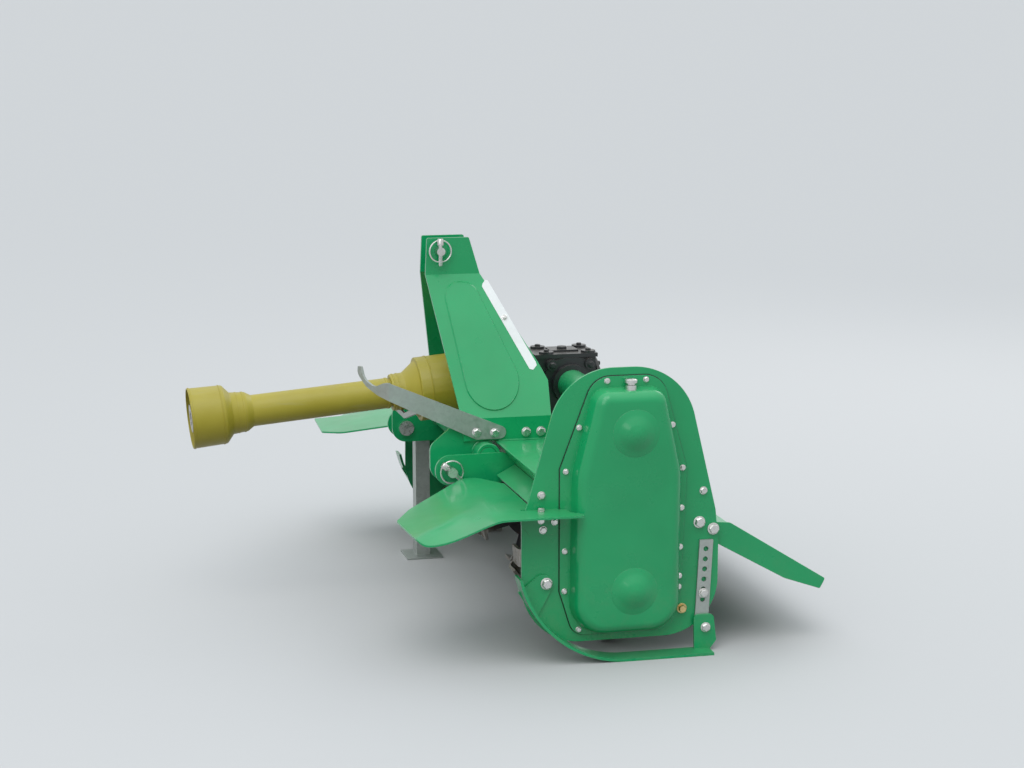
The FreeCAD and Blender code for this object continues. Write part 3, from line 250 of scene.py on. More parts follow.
def casting(name, colour):
    """Black paint over a sand casting."""
    material, tree, surface = new_material(name, colour, 0.34)
    surface.inputs["Coat Weight"].default_value = 0.35
    surface.inputs["Coat Roughness"].default_value = 0.2
    drifts = ramp(tree, noise(tree, 12.0, 8.0, 0.65), 0.35, 0.7, 0.05, 0.3)
    settled = product(tree, upward(tree), drifts)
    feed(tree, surface.inputs["Base Color"], blend(tree, settled, colour, DUST_ON_BLACK))
    gloss = ramp(tree, noise(tree, 60.0, 4.0), 0.3, 0.7, 0.27, 0.45)
    feed(tree, surface.inputs["Roughness"], gloss)
    bump(tree, surface, noise(tree, 420.0, 6.0, 0.7), 0.25, 0.0006)
    return material


def moulded(name, colour):
    """Guard plastic with scuffs along its length and settled dust."""
    material, tree, surface = new_material(name, colour, 0.45)
    surface.inputs["Subsurface Weight"].default_value = 0.04
    surface.inputs["Subsurface Radius"].default_value = (0.004, 0.003, 0.001)
    faded = tuple(min(1.0, part * 1.12 + 0.015) for part in colour)
    body = blend(tree, ramp(tree, noise(tree, 7.0, 5.0), 0.35, 0.7), colour, faded)
    streaks = noise(tree, 26.0, 8.0, 0.7, (0.25, 3.0, 3.0))
    scuffs = ramp(tree, streaks, 0.58, 0.72, 0.0, 0.45)
    scuffed = blend(tree, scuffs, body, SCUFF)
    drifts = ramp(tree, noise(tree, 15.0, 7.0), 0.3, 0.75, 0.0, 0.25)
    settled = product(tree, upward(tree), drifts)
    feed(tree, surface.inputs["Base Color"], blend(tree, settled, scuffed, DUST_ON_YELLOW))
    feed(tree, surface.inputs["Roughness"], ramp(tree, scuffs, 0.0, 0.45, 0.42, 0.68))
    bump(tree, surface, noise(tree, 300.0, 3.0), 0.15, 0.0004)
    return material


def galvanised(name, colour):
    """Hot dipped zinc: crystals of differing brightness, dull with age."""
    material, tree, surface = new_material(name, colour, 0.45, 0.75)
    cells = tree.nodes.new("ShaderNodeTexVoronoi")
    cells.inputs["Scale"].default_value = 230.0
    cells.inputs["Randomness"].default_value = 1.0
    tree.links.new(object_coordinates(tree), cells.inputs["Vector"])
    split = tree.nodes.new("ShaderNodeSeparateColor")
    tree.links.new(cells.outputs["Color"], split.inputs[0])
    crystal = split.outputs[0]
    darker = tuple(part * 0.86 for part in colour)
    plate = blend(tree, crystal, darker, colour)
    age = ramp(tree, noise(tree, 18.0, 7.0, 0.65), 0.45, 0.75, 0.0, 0.35)
    feed(tree, surface.inputs["Base Color"], blend(tree, age, plate, DULL_ZINC))
    feed(tree, surface.inputs["Roughness"], ramp(tree, crystal, 0.0, 1.0, 0.34, 0.56))
    bump(tree, surface, noise(tree, 240.0, 4.0), 0.1, 0.0004)
    return material


def bright_steel(name, colour, roughness, stain):
    """Plated or machined steel, finely grained and stained."""
    material, tree, surface = new_material(name, colour, roughness, 0.95)
    stains = ramp(tree, noise(tree, 40.0, 7.0, 0.7), 0.5, 0.75, 0.0, stain)
    feed(tree, surface.inputs["Base Color"], blend(tree, stains, colour, STAIN))
    gloss = ramp(tree, noise(tree, 90.0, 5.0), 0.3, 0.7, roughness * 0.8, roughness * 1.5)
    feed(tree, surface.inputs["Roughness"], gloss)
    bump(tree, surface, noise(tree, 500.0, 3.0), 0.12, 0.0002)
    return material


def from_axle(tree):
    """The distance from the rotor's axis, in metres."""
    shift = tree.nodes.new("ShaderNodeMapping")
    shift.inputs["Location"].default_value = (-AXIS_BEHIND / 1000, 0, -AXLE_Z / 1000)
    tree.links.new(object_coordinates(tree), shift.inputs["Vector"])
    flat = tree.nodes.new("ShaderNodeVectorMath")
    flat.operation = "MULTIPLY"
    flat.inputs[1].default_value = (1, 0, 1)
    tree.links.new(shift.outputs["Vector"], flat.inputs[0])
    length = tree.nodes.new("ShaderNodeVectorMath")
    length.operation = "LENGTH"
    tree.links.new(flat.outputs[0], length.inputs[0])
    return length.outputs["Value"]


def tine_steel(name):
    """Dark paint on the rotor, scoured bright towards the tines' tips, with dried soil."""
    material, tree, surface = new_material(name, ROTOR_PAINT, 0.4)
    ragged = ramp(tree, noise(tree, 30.0, 8.0, 0.7), 0.3, 0.7, -0.02, 0.02)
    bare = ramp(tree, maths(tree, "ADD", from_axle(tree), ragged), *BARE_REACH)
    grain = ramp(tree, noise(tree, 60.0, 8.0, 0.7, (1, 4, 1)), 0.4, 0.7)
    steel = blend(tree, grain, SCOURED, SCOURED_DARK)
    worn = blend(tree, bare, ROTOR_PAINT, steel)
    soil = ramp(tree, noise(tree, 34.0, 9.0, 0.72), 0.52, 0.62, 0.0, 0.75)
    feed(tree, surface.inputs["Base Color"], blend(tree, soil, worn, SOIL))
    clean = product(tree, maths(tree, "SUBTRACT", 1.0, soil), 0.9)
    feed(tree, surface.inputs["Metallic"], product(tree, bare, clean))
    feed(tree, surface.inputs["Roughness"], ramp(tree, soil, 0.0, 0.75, 0.36, 0.9))
    bump(tree, surface, noise(tree, 150.0, 8.0, 0.7), 0.4, 0.001)
    return material


def plain(name, colour, roughness, grain, strength):
    """A slightly uneven plain finish."""
    material, tree, surface = new_material(name, colour, roughness)
    darker = tuple(part * 0.88 for part in colour)
    uneven = ramp(tree, noise(tree, 12.0, 7.0, 0.65), 0.35, 0.7)
    feed(tree, surface.inputs["Base Color"], blend(tree, uneven, colour, darker))
    gloss = ramp(tree, noise(tree, 35.0, 5.0), 0.3, 0.7, roughness * 0.85, roughness * 1.2)
    feed(tree, surface.inputs["Roughness"], gloss)
    bump(tree, surface, noise(tree, grain, 4.0), strength, 0.0004)
    return material


# one finish for each material slot of the record
FINISH = {
    "green_paint": enamel("green_paint", GREEN, 0.28, dust=0.15, edge_wear_and_highlight=0.5, coat=0.5),
    "black_paint": casting("black_paint", BLACK),
    "yellow_guard": moulded("yellow_guard", YELLOW),
    "galvanised": galvanised("galvanised", SPANGLE),
    "zinc": bright_steel("zinc", PLATED, 0.24, 0.25),
    "tine_steel": tine_steel("tine_steel"),
    "machined": bright_steel("machined", TURNED, 0.32, 0.5),
}
WHITE = plain("white_film", (0.86, 0.86, 0.84), 0.32, 200.0, 0.05)
BRASS = bright_steel("brass", (0.72, 0.55, 0.26), 0.30, 0.35)
RUBBER = plain("black_rubber", (0.016, 0.016, 0.017), 0.6, 300.0, 0.15)


# the frame's own pieces

WELD_DISTANCE = 0.00002
SHARP_EDGE = math.radians(30)
# how wide each node's edges are rounded, in m
EDGE_WIDTH = 0.0008
EDGE_WIDTHS = {"case_cover": 0.0015, "gearbox": 0.003, "gearbox_lid": 0.003, "guard_rear": 0.001,
               "guard_front": 0.001, "rotor_tines": 0.0012, "hood_shell": 0.0012}


def smoothing_group():
    """Joins a node's split facets and shades it smooth between its sharp edges."""
    group = bpy.data.node_groups.new("weld_and_shade", "GeometryNodeTree")
    for direction in ("INPUT", "OUTPUT"):
        group.interface.new_socket("Geometry", in_out=direction,
                                   socket_type="NodeSocketGeometry")
    make = group.nodes.new
    start = make("NodeGroupInput")
    drop = make("GeometryNodeRemoveAttribute")
    drop.inputs["Name"].default_value = "custom_normal"
    weld = make("GeometryNodeMergeByDistance")
    weld.inputs["Distance"].default_value = WELD_DISTANCE
    faces = make("GeometryNodeSetShadeSmooth")
    faces.domain = "FACE"
    angle = make("GeometryNodeInputMeshEdgeAngle")
    sharp = make("FunctionNodeCompare")
    sharp.data_type = "FLOAT"
    sharp.operation = "GREATER_THAN"
    sharp.inputs[1].default_value = SHARP_EDGE
    rims = make("GeometryNodeSetShadeSmooth")
    rims.domain = "EDGE"
    rims.inputs["Shade Smooth"].default_value = False
    end = make("NodeGroupOutput")
    for source, target in (
            (start.outputs[0], drop.inputs["Geometry"]),
            (drop.outputs[0], weld.inputs["Geometry"]),
            (weld.outputs[0], faces.inputs["Geometry"]),
            (faces.outputs[0], rims.inputs["Geometry"]),
            (angle.outputs["Unsigned Angle"], sharp.inputs[0]),
            (sharp.outputs[0], rims.inputs["Selection"]),
            (rims.outputs[0], end.inputs[0])):
        group.links.new(source, target)
    return group


SMOOTHING = smoothing_group()


def round_edges(thing, width, segments, angle, harden):
    """Bevels the edges that are sharper than an angle in degrees; the width is in metres."""
    rounding = thing.modifiers.new("edges", "BEVEL")
    rounding.width = width
    rounding.segments = segments
    rounding.limit_method = "ANGLE"
    rounding.angle_limit = math.radians(angle)
    rounding.harden_normals = harden


def dress_node(node, slot_name, width):
    """Gives a frame node its finish and softens its edges."""
    node.data.materials.clear()
    node.data.materials.append(FINISH[slot_name])
    node.modifiers.new("shade", "NODES").node_group = SMOOTHING
    round_edges(node, width, segments=2, angle=40, harden=False)


for subpart in frame["record"]["subparts"]:
    label = subpart["node"]
    width = EDGE_WIDTHS.get(label, EDGE_WIDTH)
    dress_node(frame["nodes"][label], subpart["material_slot"], width)


# how added pieces are made

def loft(mesh, rings, closed=False):
    """A skin over rings of vertices: the last joins the first, or both ends get a face."""
    count = len(rings[0])
    for low, high in zip(rings, rings[1:] + rings[:1] if closed else rings[1:]):
        for number in range(count):
            after = (number + 1) % count
            mesh.faces.new((low[number], low[after], high[after], high[number]))
    if not closed:
        mesh.faces.new(list(reversed(rings[0])))
        mesh.faces.new(rings[-1])


def lathe(mesh, place, profile, sides=24, hollow=False):
    """A turned form about a matrix's local Z, from rings (radius, height) in mm, or a hoop."""
    rings = []
    for radius, height in profile:
        ring = []
        for number in range(sides):
            turn = 2 * math.pi * number / sides
            spot = Vector((radius * math.cos(turn), radius * math.sin(turn), height)) / 1000
            ring.append(mesh.verts.new(place @ spot))
        rings.append(ring)
    loft(mesh, rings, hollow)


def prism(mesh, place, corners, low, high):
    """A plate: corners (x, y) in mm in a matrix's local plane, between two heights."""
    rows = []
    for height in (low, high):
        spots = [Vector((x, y, height)) / 1000 for x, y in corners]
        rows.append([mesh.verts.new(place @ spot) for spot in spots])
    loft(mesh, rows)


def side_plate(mesh, place, corners, side, inner, outer):
    """A prism on one side of the centre plane, for a matrix whose local Z looks left."""
    low, high = sorted((-side * inner, -side * outer))
    prism(mesh, place, corners, low, high)


def sweep(mesh, points, radius, closed=False, sides=10):
    """A round bar along points of the frame; its radius is in mm."""
    count = len(points)
    normal = None
    rings = []
    for number, point in enumerate(points):
        if closed:
            along = points[(number + 1) % count] - points[number - 1]
        else:
            along = points[min(number + 1, count - 1)] - points[max(number - 1, 0)]
        along.normalize()
        if normal is None:
            normal = along.orthogonal().normalized()
        normal = (normal - along * normal.dot(along)).normalized()
        across = along.cross(normal)
        ring = []
        for side in range(sides):
            turn = 2 * math.pi * side / sides
            arm = normal * math.cos(turn) + across * math.sin(turn)
            ring.append(mesh.verts.new(point + arm * radius / 1000))
        rings.append(ring)
    loft(mesh, rings, closed)


def circle(centre, radius, first, second, count=40):
    """Points round a circle in the plane of two directions; the radius is in mm."""
    first = Vector(first).normalized()
    second = Vector(second).normalized()
    points = []
    for number in range(count):
        turn = 2 * math.pi * number / count
        arm = first * math.cos(turn) + second * math.sin(turn)
        points.append(centre + arm * radius / 1000)
    return points


def along_line(start, end, count):
    """Points on a straight line."""
    return [start.lerp(end, number / (count - 1)) for number in range(count)]


def spread(count, radius):
    """Offsets round a circle, the first of them half a step on."""
    for number in range(count):
        angle = math.pi * (2 * number + 1) / count
        yield radius * math.cos(angle), radius * math.sin(angle)


def rounded(corners, step=5.0):
    """A closed outline from corners (x, y, rounding) in mm, its arcs' points a step apart."""
    points = []
    count = len(corners)
    for number in range(count):
        here = Vector(corners[number][:2])
        into = (Vector(corners[number - 1][:2]) - here).normalized()
        away = (Vector(corners[(number + 1) % count][:2]) - here).normalized()
        radius = corners[number][2]
        if radius == 0:
            points.append(here)
            continue
        half = into.angle(away) / 2
        centre = here + (into + away).normalized() * radius / math.sin(half)
        first = here + into * radius / math.tan(half) - centre
        last = here + away * radius / math.tan(half) - centre
        turn = first.angle_signed(last)
        parts = max(2, int(abs(turn) * radius / step))
        for part in range(parts + 1):
            angle = -turn * part / parts
            cosine, sine = math.cos(angle), math.sin(angle)
            arm = Vector((first.x * cosine - first.y * sine, first.x * sine + first.y * cosine))
            points.append(centre + arm)
    return points


def put(name, data):
    """An object of the scene for a mesh, a lamp or a camera."""
    thing = bpy.data.objects.new(name, data)
    bpy.context.scene.collection.objects.link(thing)
    return thing


def mesh_object(name, mesh):
    """An object made of a mesh under construction."""
    data = bpy.data.meshes.new(name)
    mesh.to_mesh(data)
    mesh.free()
    return put(name, data)


def piece(name, mesh, body, slot_name, material=None, bevel=0.0, sharp=35):
    """Makes an object of a mesh under construction and lets it ride on a body."""
    bmesh.ops.recalc_face_normals(mesh, faces=mesh.faces)
    thing = mesh_object(name, mesh)
    data = thing.data
    for face in data.polygons:
        face.use_smooth = True
    data.set_sharp_from_angle(angle=math.radians(sharp))
    data.materials.append(material or FINISH[slot_name])
    if bevel:
        round_edges(thing, bevel / 1000, segments=3, angle=35, harden=True)
    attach(thing, body)
    return thing


# fasteners: profiles (radius, height) in diameters of the thread

WASHER = [(1.02, 0), (1.08, 0.04), (1.08, 0.15), (1, 0.2)]
WASHER_TOP = 0.2
BOLT_HEAD = [(0.94, 0), (0.94, 0.5), (0.78, 0.62)]
BOLT_CROWN = [(0.7, 0.5), (0.66, 0.66), (0.4, 0.68)]
NUT = [(0.8, 0.2), (0.94, 0.32), (0.94, 0.9), (0.8, 1)]
# the same in mm
LYNCH_PIN = [(3.2, 0), (4.7, 3), (4.7, 47), (4.7, 51)]
LYNCH_HEAD = [(6.5, 0), (8, 2), (8, 13), (6, 16)]


def scaled(profile, size, base=0.0):
    """A profile times a size, lifted to a base."""
    return [(radius * size, (base + height) * size) for radius, height in profile]


def bolt(mesh, point, axis, size, roll, washer=True):
    """A hexagon bolt head on its washer; size is the thread's diameter in mm."""
    place = facing(point, axis, roll)
    base = WASHER_TOP if washer else 0.0
    if washer:
        lathe(mesh, place, scaled(WASHER, size))
    lathe(mesh, place, scaled(BOLT_HEAD, size, base), 6)
    lathe(mesh, place, scaled(BOLT_CROWN, size, base), 20)


def nut(mesh, point, axis, size, roll=0.1, reach=1.25):
    """A nut on its washer, with the end of the thread through it as far as its reach."""
    place = facing(point, axis, roll)
    lathe(mesh, place, scaled(WASHER, size))
    lathe(mesh, place, scaled(NUT, size), 6)
    lathe(mesh, place, scaled([(0.5, 0.9), (0.5, reach), (0.4, reach + 0.1)], size), 16)


def lynch_pin(mesh, point, through):
    """A pin through a hitch pin's end, its head, and its spring ring folded over the end."""
    along = Vector(through).normalized()
    lathe(mesh, facing(point - along * 0.034, along), LYNCH_PIN, 16)
    lathe(mesh, facing(point + along * 0.0125, along), LYNCH_HEAD, 16)
    sideways = along.cross(Vector(LEFT)).normalized()
    sweep(mesh, circle(point, 25, along, sideways), 1.9, closed=True)


# the drive case and the side plates

COVER_FACE = -637
COVER_BOLTS = [(-38, 592.5), (46, 592.5), (-97.5, 497), (-126, 405), (-127.5, 235), (-128, 149),
               (-97, 64), (105, 494), (128.5, 401), (127, 315), (125, 230), (123.7, 167),
               (122.8, 143)]
# x, z, distance from the centre plane, thread
PLATE_BOLTS = [(-177, 356, 631, 8), (177, 348, 631, 8), (168.8, 279.9, 631, 12),
               (-174, 283, 635, 8), (-178, 303, 635, 7), (-149, 299, 635, 7)]
# the same with the head's turn: the hinge, the skid's front, its rear lug and the depth bar
LOW_BOLTS = [(HINGE[0], HINGE[2], 631.5, 12, 0.9), (-167, 168, 637.3, 12, 0.2),
             (182, 52, 643.3, 10, 0.5), (178, 126, 637.3, 10, 1.1)]
BREATHER = [(12, 0), (12, 10), (9, 11), (9, 14), (13.5, 15), (13.5, 21), (11, 23), (4, 24)]
RIM = [(-138, 148, 0), (-108, 52, 34), (108, 52, 34), (128, 148, 0), (138, 400, 0),
       (82, 602, 52), (-66, 602, 52), (-138, 410, 0)]


def case_fasteners():
    """The drive case's bolts, breather and drain plug, and the side plates' bolts."""
    mesh = bmesh.new()
    for number, (x, z) in enumerate(COVER_BOLTS):
        bolt(mesh, at(x, COVER_FACE, z), LEFT, 6, 0.4 * number)
    for number, (x, z, out, size) in enumerate(PLATE_BOLTS):
        bolt(mesh, at(x, -out, z), LEFT, size, 0.7 * number)
        bolt(mesh, at(x, out, z), RIGHT, size, 0.5 * number)
    for side, axis in SIDES:
        bolt(mesh, at(-181, side * 646, WING_TOP), UP, 8, 0.3)
        for x, z, out, size, roll in LOW_BOLTS:
            bolt(mesh, at(x, side * out, z), axis, size, roll)
    piece("case_bolts", mesh, "frame", "zinc")
    mesh = bmesh.new()
    lathe(mesh, facing(at(9, -652, 575), UP, 0.1), BREATHER, 28)
    piece("case_breather", mesh, "frame", "zinc")
    mesh = bmesh.new()
    place = facing(at(132, -SIDE_FACE, 94), LEFT, 0.4)
    lathe(mesh, place, [(11, 0), (11, 2.5), (10.5, 3)], 28)
    lathe(mesh, place, [(8.6, 3), (8.6, 10), (7.4, 11.5)], 6)
    piece("case_drain_plug", mesh, "frame", "zinc", BRASS)


def case_joint():
    """The dark sealing compound in the joint round the case cover's rim."""
    mesh = bmesh.new()
    sweep(mesh, [at(x, -631.9, z) for x, z in rounded(RIM)], 1.7, closed=True, sides=8)
    piece("case_joint", mesh, "frame", "black_paint", RUBBER)


# the hitch and the mast

HOOK_BOLTS = [(-226, 416), (-184, 414)]    # x, z
HOOK_OUT, HOOK_IN = 242.2, 220.8           # where their heads and nuts sit
MAST_BOLTS_X = (-110, -76)
MAST_BOLTS_Z = 412
FOOT_BOLTS_X = (-200, -165)
FOOT_BOLTS_Z = 414
FOOT_OUT, FOOT_IN = 236.1, 220.9
TOP_PIN_END = (-265, -49, 802)
LOWER_PIN_END = (-295, 302, 342)
LOWER_PIN_HOLE = (-0.75, 0, 0.66)          # the way a lynch pin goes through a lower pin
# the mast's sides between their bends: z and distance from the centre plane
MAST_LOW, MAST_OUT = 447, 236
MAST_HIGH, MAST_IN = 747, 33
MAST_NORMAL = (0.828, 0.56)    # sideways and up
STRIP = [(-169, 719), (-166, 726), (-158, 733), (-153, 731), (-69, 557), (-68, 550), (-78, 541),
         (-86, 543)]
LOBE = [(-232, 464, 58), (-88, 464, 62), (-190, 729, 34), (-261, 729, 34)]
LOBE_EDGE = [(-0.8, -0.8), (-0.8, 4.06), (3.4, -0.8)]    # shift outwards, rise
TUBE_CAP = [(19.8, 0), (19.8, 2.4), (18, 4), (4, 4.8)]


def hitch_fasteners():
    """The bolts of the hook and the mast's feet, and the lynch pins of the three hitch pins."""
    mesh = bmesh.new()
    for x, z in HOOK_BOLTS:
        bolt(mesh, at(x, -HOOK_OUT, z), LEFT, 10, 0.4)
        nut(mesh, at(x, -HOOK_IN, z), RIGHT, 10)
    for x in MAST_BOLTS_X:
        for side, outward, inward in ((-1, LEFT, RIGHT), (1, RIGHT, LEFT)):
            bolt(mesh, at(x, side * FOOT_OUT, MAST_BOLTS_Z), outward, 10, 0.8)
            nut(mesh, at(x, side * FOOT_IN, MAST_BOLTS_Z), inward, 10)
    for x in FOOT_BOLTS_X:
        bolt(mesh, at(x, FOOT_OUT, FOOT_BOLTS_Z), RIGHT, 10, 0.1)
    piece("hitch_bolts", mesh, "frame", "zinc")
    mesh = bmesh.new()
    lynch_pin(mesh, at(*TOP_PIN_END), UP)
    x, out, z = LOWER_PIN_END
    for side in (-1, 1):
        lynch_pin(mesh, at(x, side * out, z), LOWER_PIN_HOLE)
    piece("lynch_pins", mesh, "frame", "zinc")


def on_mast(side, x, z, out):
    """A point on the sloping part of a mast's side, moved out sideways."""
    share = (z - MAST_LOW) / (MAST_HIGH - MAST_LOW)
    return at(x, side * (MAST_OUT + (MAST_IN - MAST_OUT) * share + out), z)


def mast_strips():
    """The blank white strips along the rear edges of the mast's sides, each with its bolt."""
    bolts = bmesh.new()
    for side, name in SIDE_NAMES:
        mesh = bmesh.new()
        rows = []
        for out in (0.1, 0.9):
            rows.append([mesh.verts.new(on_mast(side, x, z, out)) for x, z in STRIP])
        loft(mesh, rows)
        piece("mast_strip_" + name, mesh, "frame", "green_paint", WHITE, bevel=0.3)
        sideways, upwards = MAST_NORMAL
        bolt(bolts, on_mast(side, -127, 652, 0.8), (0, side * sideways, upwards), 6, 0.2)
    piece("strip_bolts", bolts, "frame", "zinc")


def mast_panel_edges():
    """The sloping edges round the pressed panels of the mast's sides."""
    mesh = bmesh.new()
    outline = rounded(LOBE, 4.0)
    count = len(outline)
    for side in (-1, 1):
        rows = [[], [], []]
        for number, spot in enumerate(outline):
            along = (outline[(number + 1) % count] - outline[number - 1]).normalized()
            outwards = Vector((along.y, -along.x))
            for row, (shift, rise) in zip(rows, LOBE_EDGE):
                place = spot + outwards * shift
                row.append(mesh.verts.new(on_mast(side, place.x, place.y, rise)))
        loft(mesh, rows, closed=True)
    piece("mast_panel_edges", mesh, "frame", "green_paint")


def tube_caps():
    """The caps in the cross tube's ends."""
    mesh = bmesh.new()
    for side, axis in SIDES:
        lathe(mesh, facing(at(TUBE[0], side * 274, TUBE[1]), axis), TUBE_CAP, 40)
    piece("cross_tube_caps", mesh, "frame", "green_paint")


# the gearbox, the rotor and the drive shaft

CROSS_SHAFT_X = 41
RIB = [(-4, -7), (4, -7), (4, 7), (-4, 7)]
REAR_COVER = [(54, -6), (54, 0), (52, 2), (40, 3), (34, 9), (12, 11)]
FLANGES = 6
FLANGE_Y = 560        # the outermost flanges, from the centre plane
TINES = 6             # on each flange
FLANGE_TWIST = 25     # each flange is turned on from the one before, in degrees
# ahead of the joint, radius of the guard, width
NECK_RINGS = [(70, 74.2, 4), (140, 42.6, 5), (151, 42.3, 4)]
TUBE_RINGS = [(166, 35, 7), (500, 45.4, 6), (515, 46.3, 5), (552, 67.2, 4), (619, 69, 5)]
YOKE_RADIUS = 32
COLLAR = [(596, 18, 6, 2), (583, 9, 3, 1.5)]    # ahead of the joint, width, rise, chamfer
SPLINES = 6
SPLINE = [(14.9, -3.6), (17.9, -4.1), (17.9, 4.1), (14.9, 3.6)]


def gearbox_castings():
    """The gearbox's ribs, bosses and rear cover, and its bolts and filler plug."""
    mesh = bmesh.new()
    for side in (-1, 1):
        for x in (-19, 41, 101):
            prism(mesh, Matrix.Translation(at(x, side * 62, 440)), RIB, -36, 0)
    for over, aside in spread(6, 37):
        place = facing(at(-72, aside, SHAFT_Z + over), FORWARD)
        lathe(mesh, place, [(9, -30), (9, 0), (8, 1)], 20)
    lathe(mesh, facing(at(115, 0, SHAFT_Z), BACK), REAR_COVER, 48)
    piece("gearbox_bosses", mesh, "frame", "black_paint", bevel=1.5)
    mesh = bmesh.new()
    for x in (-13, 88):
        for y in (-41, 41):
            bolt(mesh, at(x, y, 560), UP, 7, x + y, washer=False)
    for side, axis in SIDES:
        for x in (-5, 87):
            bolt(mesh, at(x, side * 70, 531), axis, 8, x)
    for turn, (over, aside) in enumerate(spread(6, 46)):
        bolt(mesh, at(118, aside, SHAFT_Z + over), BACK, 6, turn, washer=False)
    for turn, (behind, over) in enumerate(spread(4, 35)):
        spot = at(CROSS_SHAFT_X + behind, 84, SHAFT_Z + over)
        bolt(mesh, spot, RIGHT, 6, turn, washer=False)
    for x in (-66, 84):
        for y in (-66, 66):
            bolt(mesh, at(x, y, 406), UP, 10, x - y)
    lathe(mesh, facing(at(35, 0, 558), UP, 0.3), [(13, 0), (13, 5), (11, 7)], 6)
    piece("gearbox_bolts", mesh, "frame", "black_paint")


def rotor_fasteners():
    """The bolts and nuts that hold the tines to their flanges."""
    mesh = bmesh.new()
    for number in range(FLANGES):
        y = -FLANGE_Y + 2 * FLANGE_Y * number / (FLANGES - 1)
        for tine in range(TINES):
            direction = 1 if tine % 2 == 0 else -1
            if number == 0:
                direction = 1
            if number == FLANGES - 1:
                direction = -1
            turn = math.radians(360 / TINES * tine + FLANGE_TWIST * number)
            radial = Vector((math.sin(turn), 0, math.cos(turn)))
            across = Vector((math.cos(turn), 0, -math.sin(turn)))
            outward = Vector((0, direction, 0))
            for shift in (-0.011, 0.011):
                spot = at(0, y, AXLE_Z) + radial * 0.061 + across * shift
                bolt(mesh, spot + outward * 0.012, outward, 9, turn, washer=False)
                nut(mesh, spot - outward * 0.005, -outward, 9, turn, 1.1)
    piece("tine_bolts", mesh, "rotor", "tine_steel")


def hoop(mesh, place, radius, width, inner, rise, chamfer, sides=56):
    """A ring round a tube, from its inner radius to its rise over the tube's own radius."""
    outer = radius + rise
    profile = [(inner, 0), (outer, chamfer), (outer, width - chamfer), (inner, width)]
    lathe(mesh, place, profile, sides, hollow=True)


def guard_rings():
    """The rings moulded round the guard's neck and tubes."""
    mesh = bmesh.new()
    for ahead, radius, width in NECK_RINGS:
        hoop(mesh, shaft_place(ahead), radius, width, radius - 1.5, 1.0, 1)
    piece("guard_neck_rings", mesh, "drive_rear", "yellow_guard")
    mesh = bmesh.new()
    for ahead, radius, width in TUBE_RINGS:
        hoop(mesh, shaft_place(ahead), radius, width, radius - 1.5, 1.2, 1.2)
    piece("guard_tube_rings", mesh, "drive_front", "yellow_guard")


def tractor_yoke():
    """The collar that locks the yoke on the tractor's stub, and the six splines in its bore."""
    mesh = bmesh.new()
    for ahead, width, rise, chamfer in COLLAR:
        hoop(mesh, shaft_place(ahead), YOKE_RADIUS, width, YOKE_RADIUS - 0.5, rise, chamfer, 48)
    for number in range(SPLINES):
        place = shaft_place(568, 2 * math.pi * number / SPLINES)
        prism(mesh, place, SPLINE, 0, 54)
    piece("yoke_collar_and_splines", mesh, "yoke", "machined", bevel=0.3)


TUBE_RADIUS = 25.4
ARM_RADIUS = 35.6
BEAD = 2.2            # a weld bead's radius
TUBE_WELDS = (219.5, 230.5, 277.5)    # from the centre plane
FOOT_WELDS = (219.6, 237.4)


def welds():
    """The weld beads at the hitch plates, the mast's feet and the cross shaft's tube."""
    mesh = bmesh.new()
    for side in (-1, 1):
        for out in TUBE_WELDS:
            centre = at(TUBE[0], side * out, TUBE[1])
            ring = circle(centre, TUBE_RADIUS, BACK, UP, 60)
            sweep(mesh, ring, BEAD, closed=True, sides=8)
        for out in FOOT_WELDS:
            seam = along_line(at(-174, side * out, 395), at(-58, side * out, 395), 40)
            sweep(mesh, seam, 2.3, sides=8)
    centre = at(CROSS_SHAFT_X, -614, SHAFT_Z)
    sweep(mesh, circle(centre, ARM_RADIUS, BACK, UP, 60), BEAD, closed=True, sides=8)
    piece("weld_beads", mesh, "frame", "green_paint")


# the side deflectors

WING_INNER = {-1: 278, 1: 344.3}    # their inner front corners, from the centre plane
WING_FLANGE = [(-221, 325, 0), (-221, 296, 0), (-201, 272, 8), (-142, 272, 12), (-142, 325, 0)]
WING_SHEET = 4
BEND_X = -277          # ahead of the cross bend the sheet falls
BEND_FALL = 0.216
BEND_EASE = 14         # half the width over which a bend is rounded
FOLD_OUT = 526.7       # where the slanting fold crosses that bend, from the centre plane
FOLD_SLANT = 0.859
FOLD_FALL = 0.37       # how steeply the strip outside the fold falls, once it is fully bent
FOLD_LENGTH = 142      # the way ahead on which the fold reaches that
FOLD_GROWTH = 1.8
FOLD_EASE = 9
GRID = 8               # the step of the sheet's mesh
UPRIGHT = Matrix(((1, 0, 0, 0), (0, 0, -1, 0), (0, 1, 0, 0), (0, 0, 0, 1)))


def wing_plan(inner):
    """A deflector's plan: x, distance from the centre plane, rounding."""
    return [(-193, 372, 0), (-250, inner, 30), (-418, 436, 60), (-458, 500, 20), (-450, 690, 30),
            (-283, 708, 40), (-92, 708, 10), (-124, 668, 0), (-128, 638, 0), (-142, 638, 0),
            (-142, SIDE_FACE, 0), (-221, SIDE_FACE, 0), (-221, 624, 0), (-193, 624, 0)]


def eased(distance, radius):
    """Zero before a bend and the distance past it, with the bend rounded."""
    if distance <= -radius:
        return 0.0
    if distance >= radius:
        return distance
    return (distance + radius) ** 2 / (4 * radius)


def wing_top(x, out):
    """The height of a deflector's top face, which falls from its cross bend and its fold."""
    ahead = BEND_X - x
    past_fold = out - (FOLD_OUT + FOLD_SLANT * ahead)
    fall = FOLD_FALL * (max(ahead, 0) / FOLD_LENGTH) ** FOLD_GROWTH
    bent = BEND_FALL * eased(ahead, BEND_EASE) + fall * eased(past_fold, FOLD_EASE)
    return WING_TOP - bent


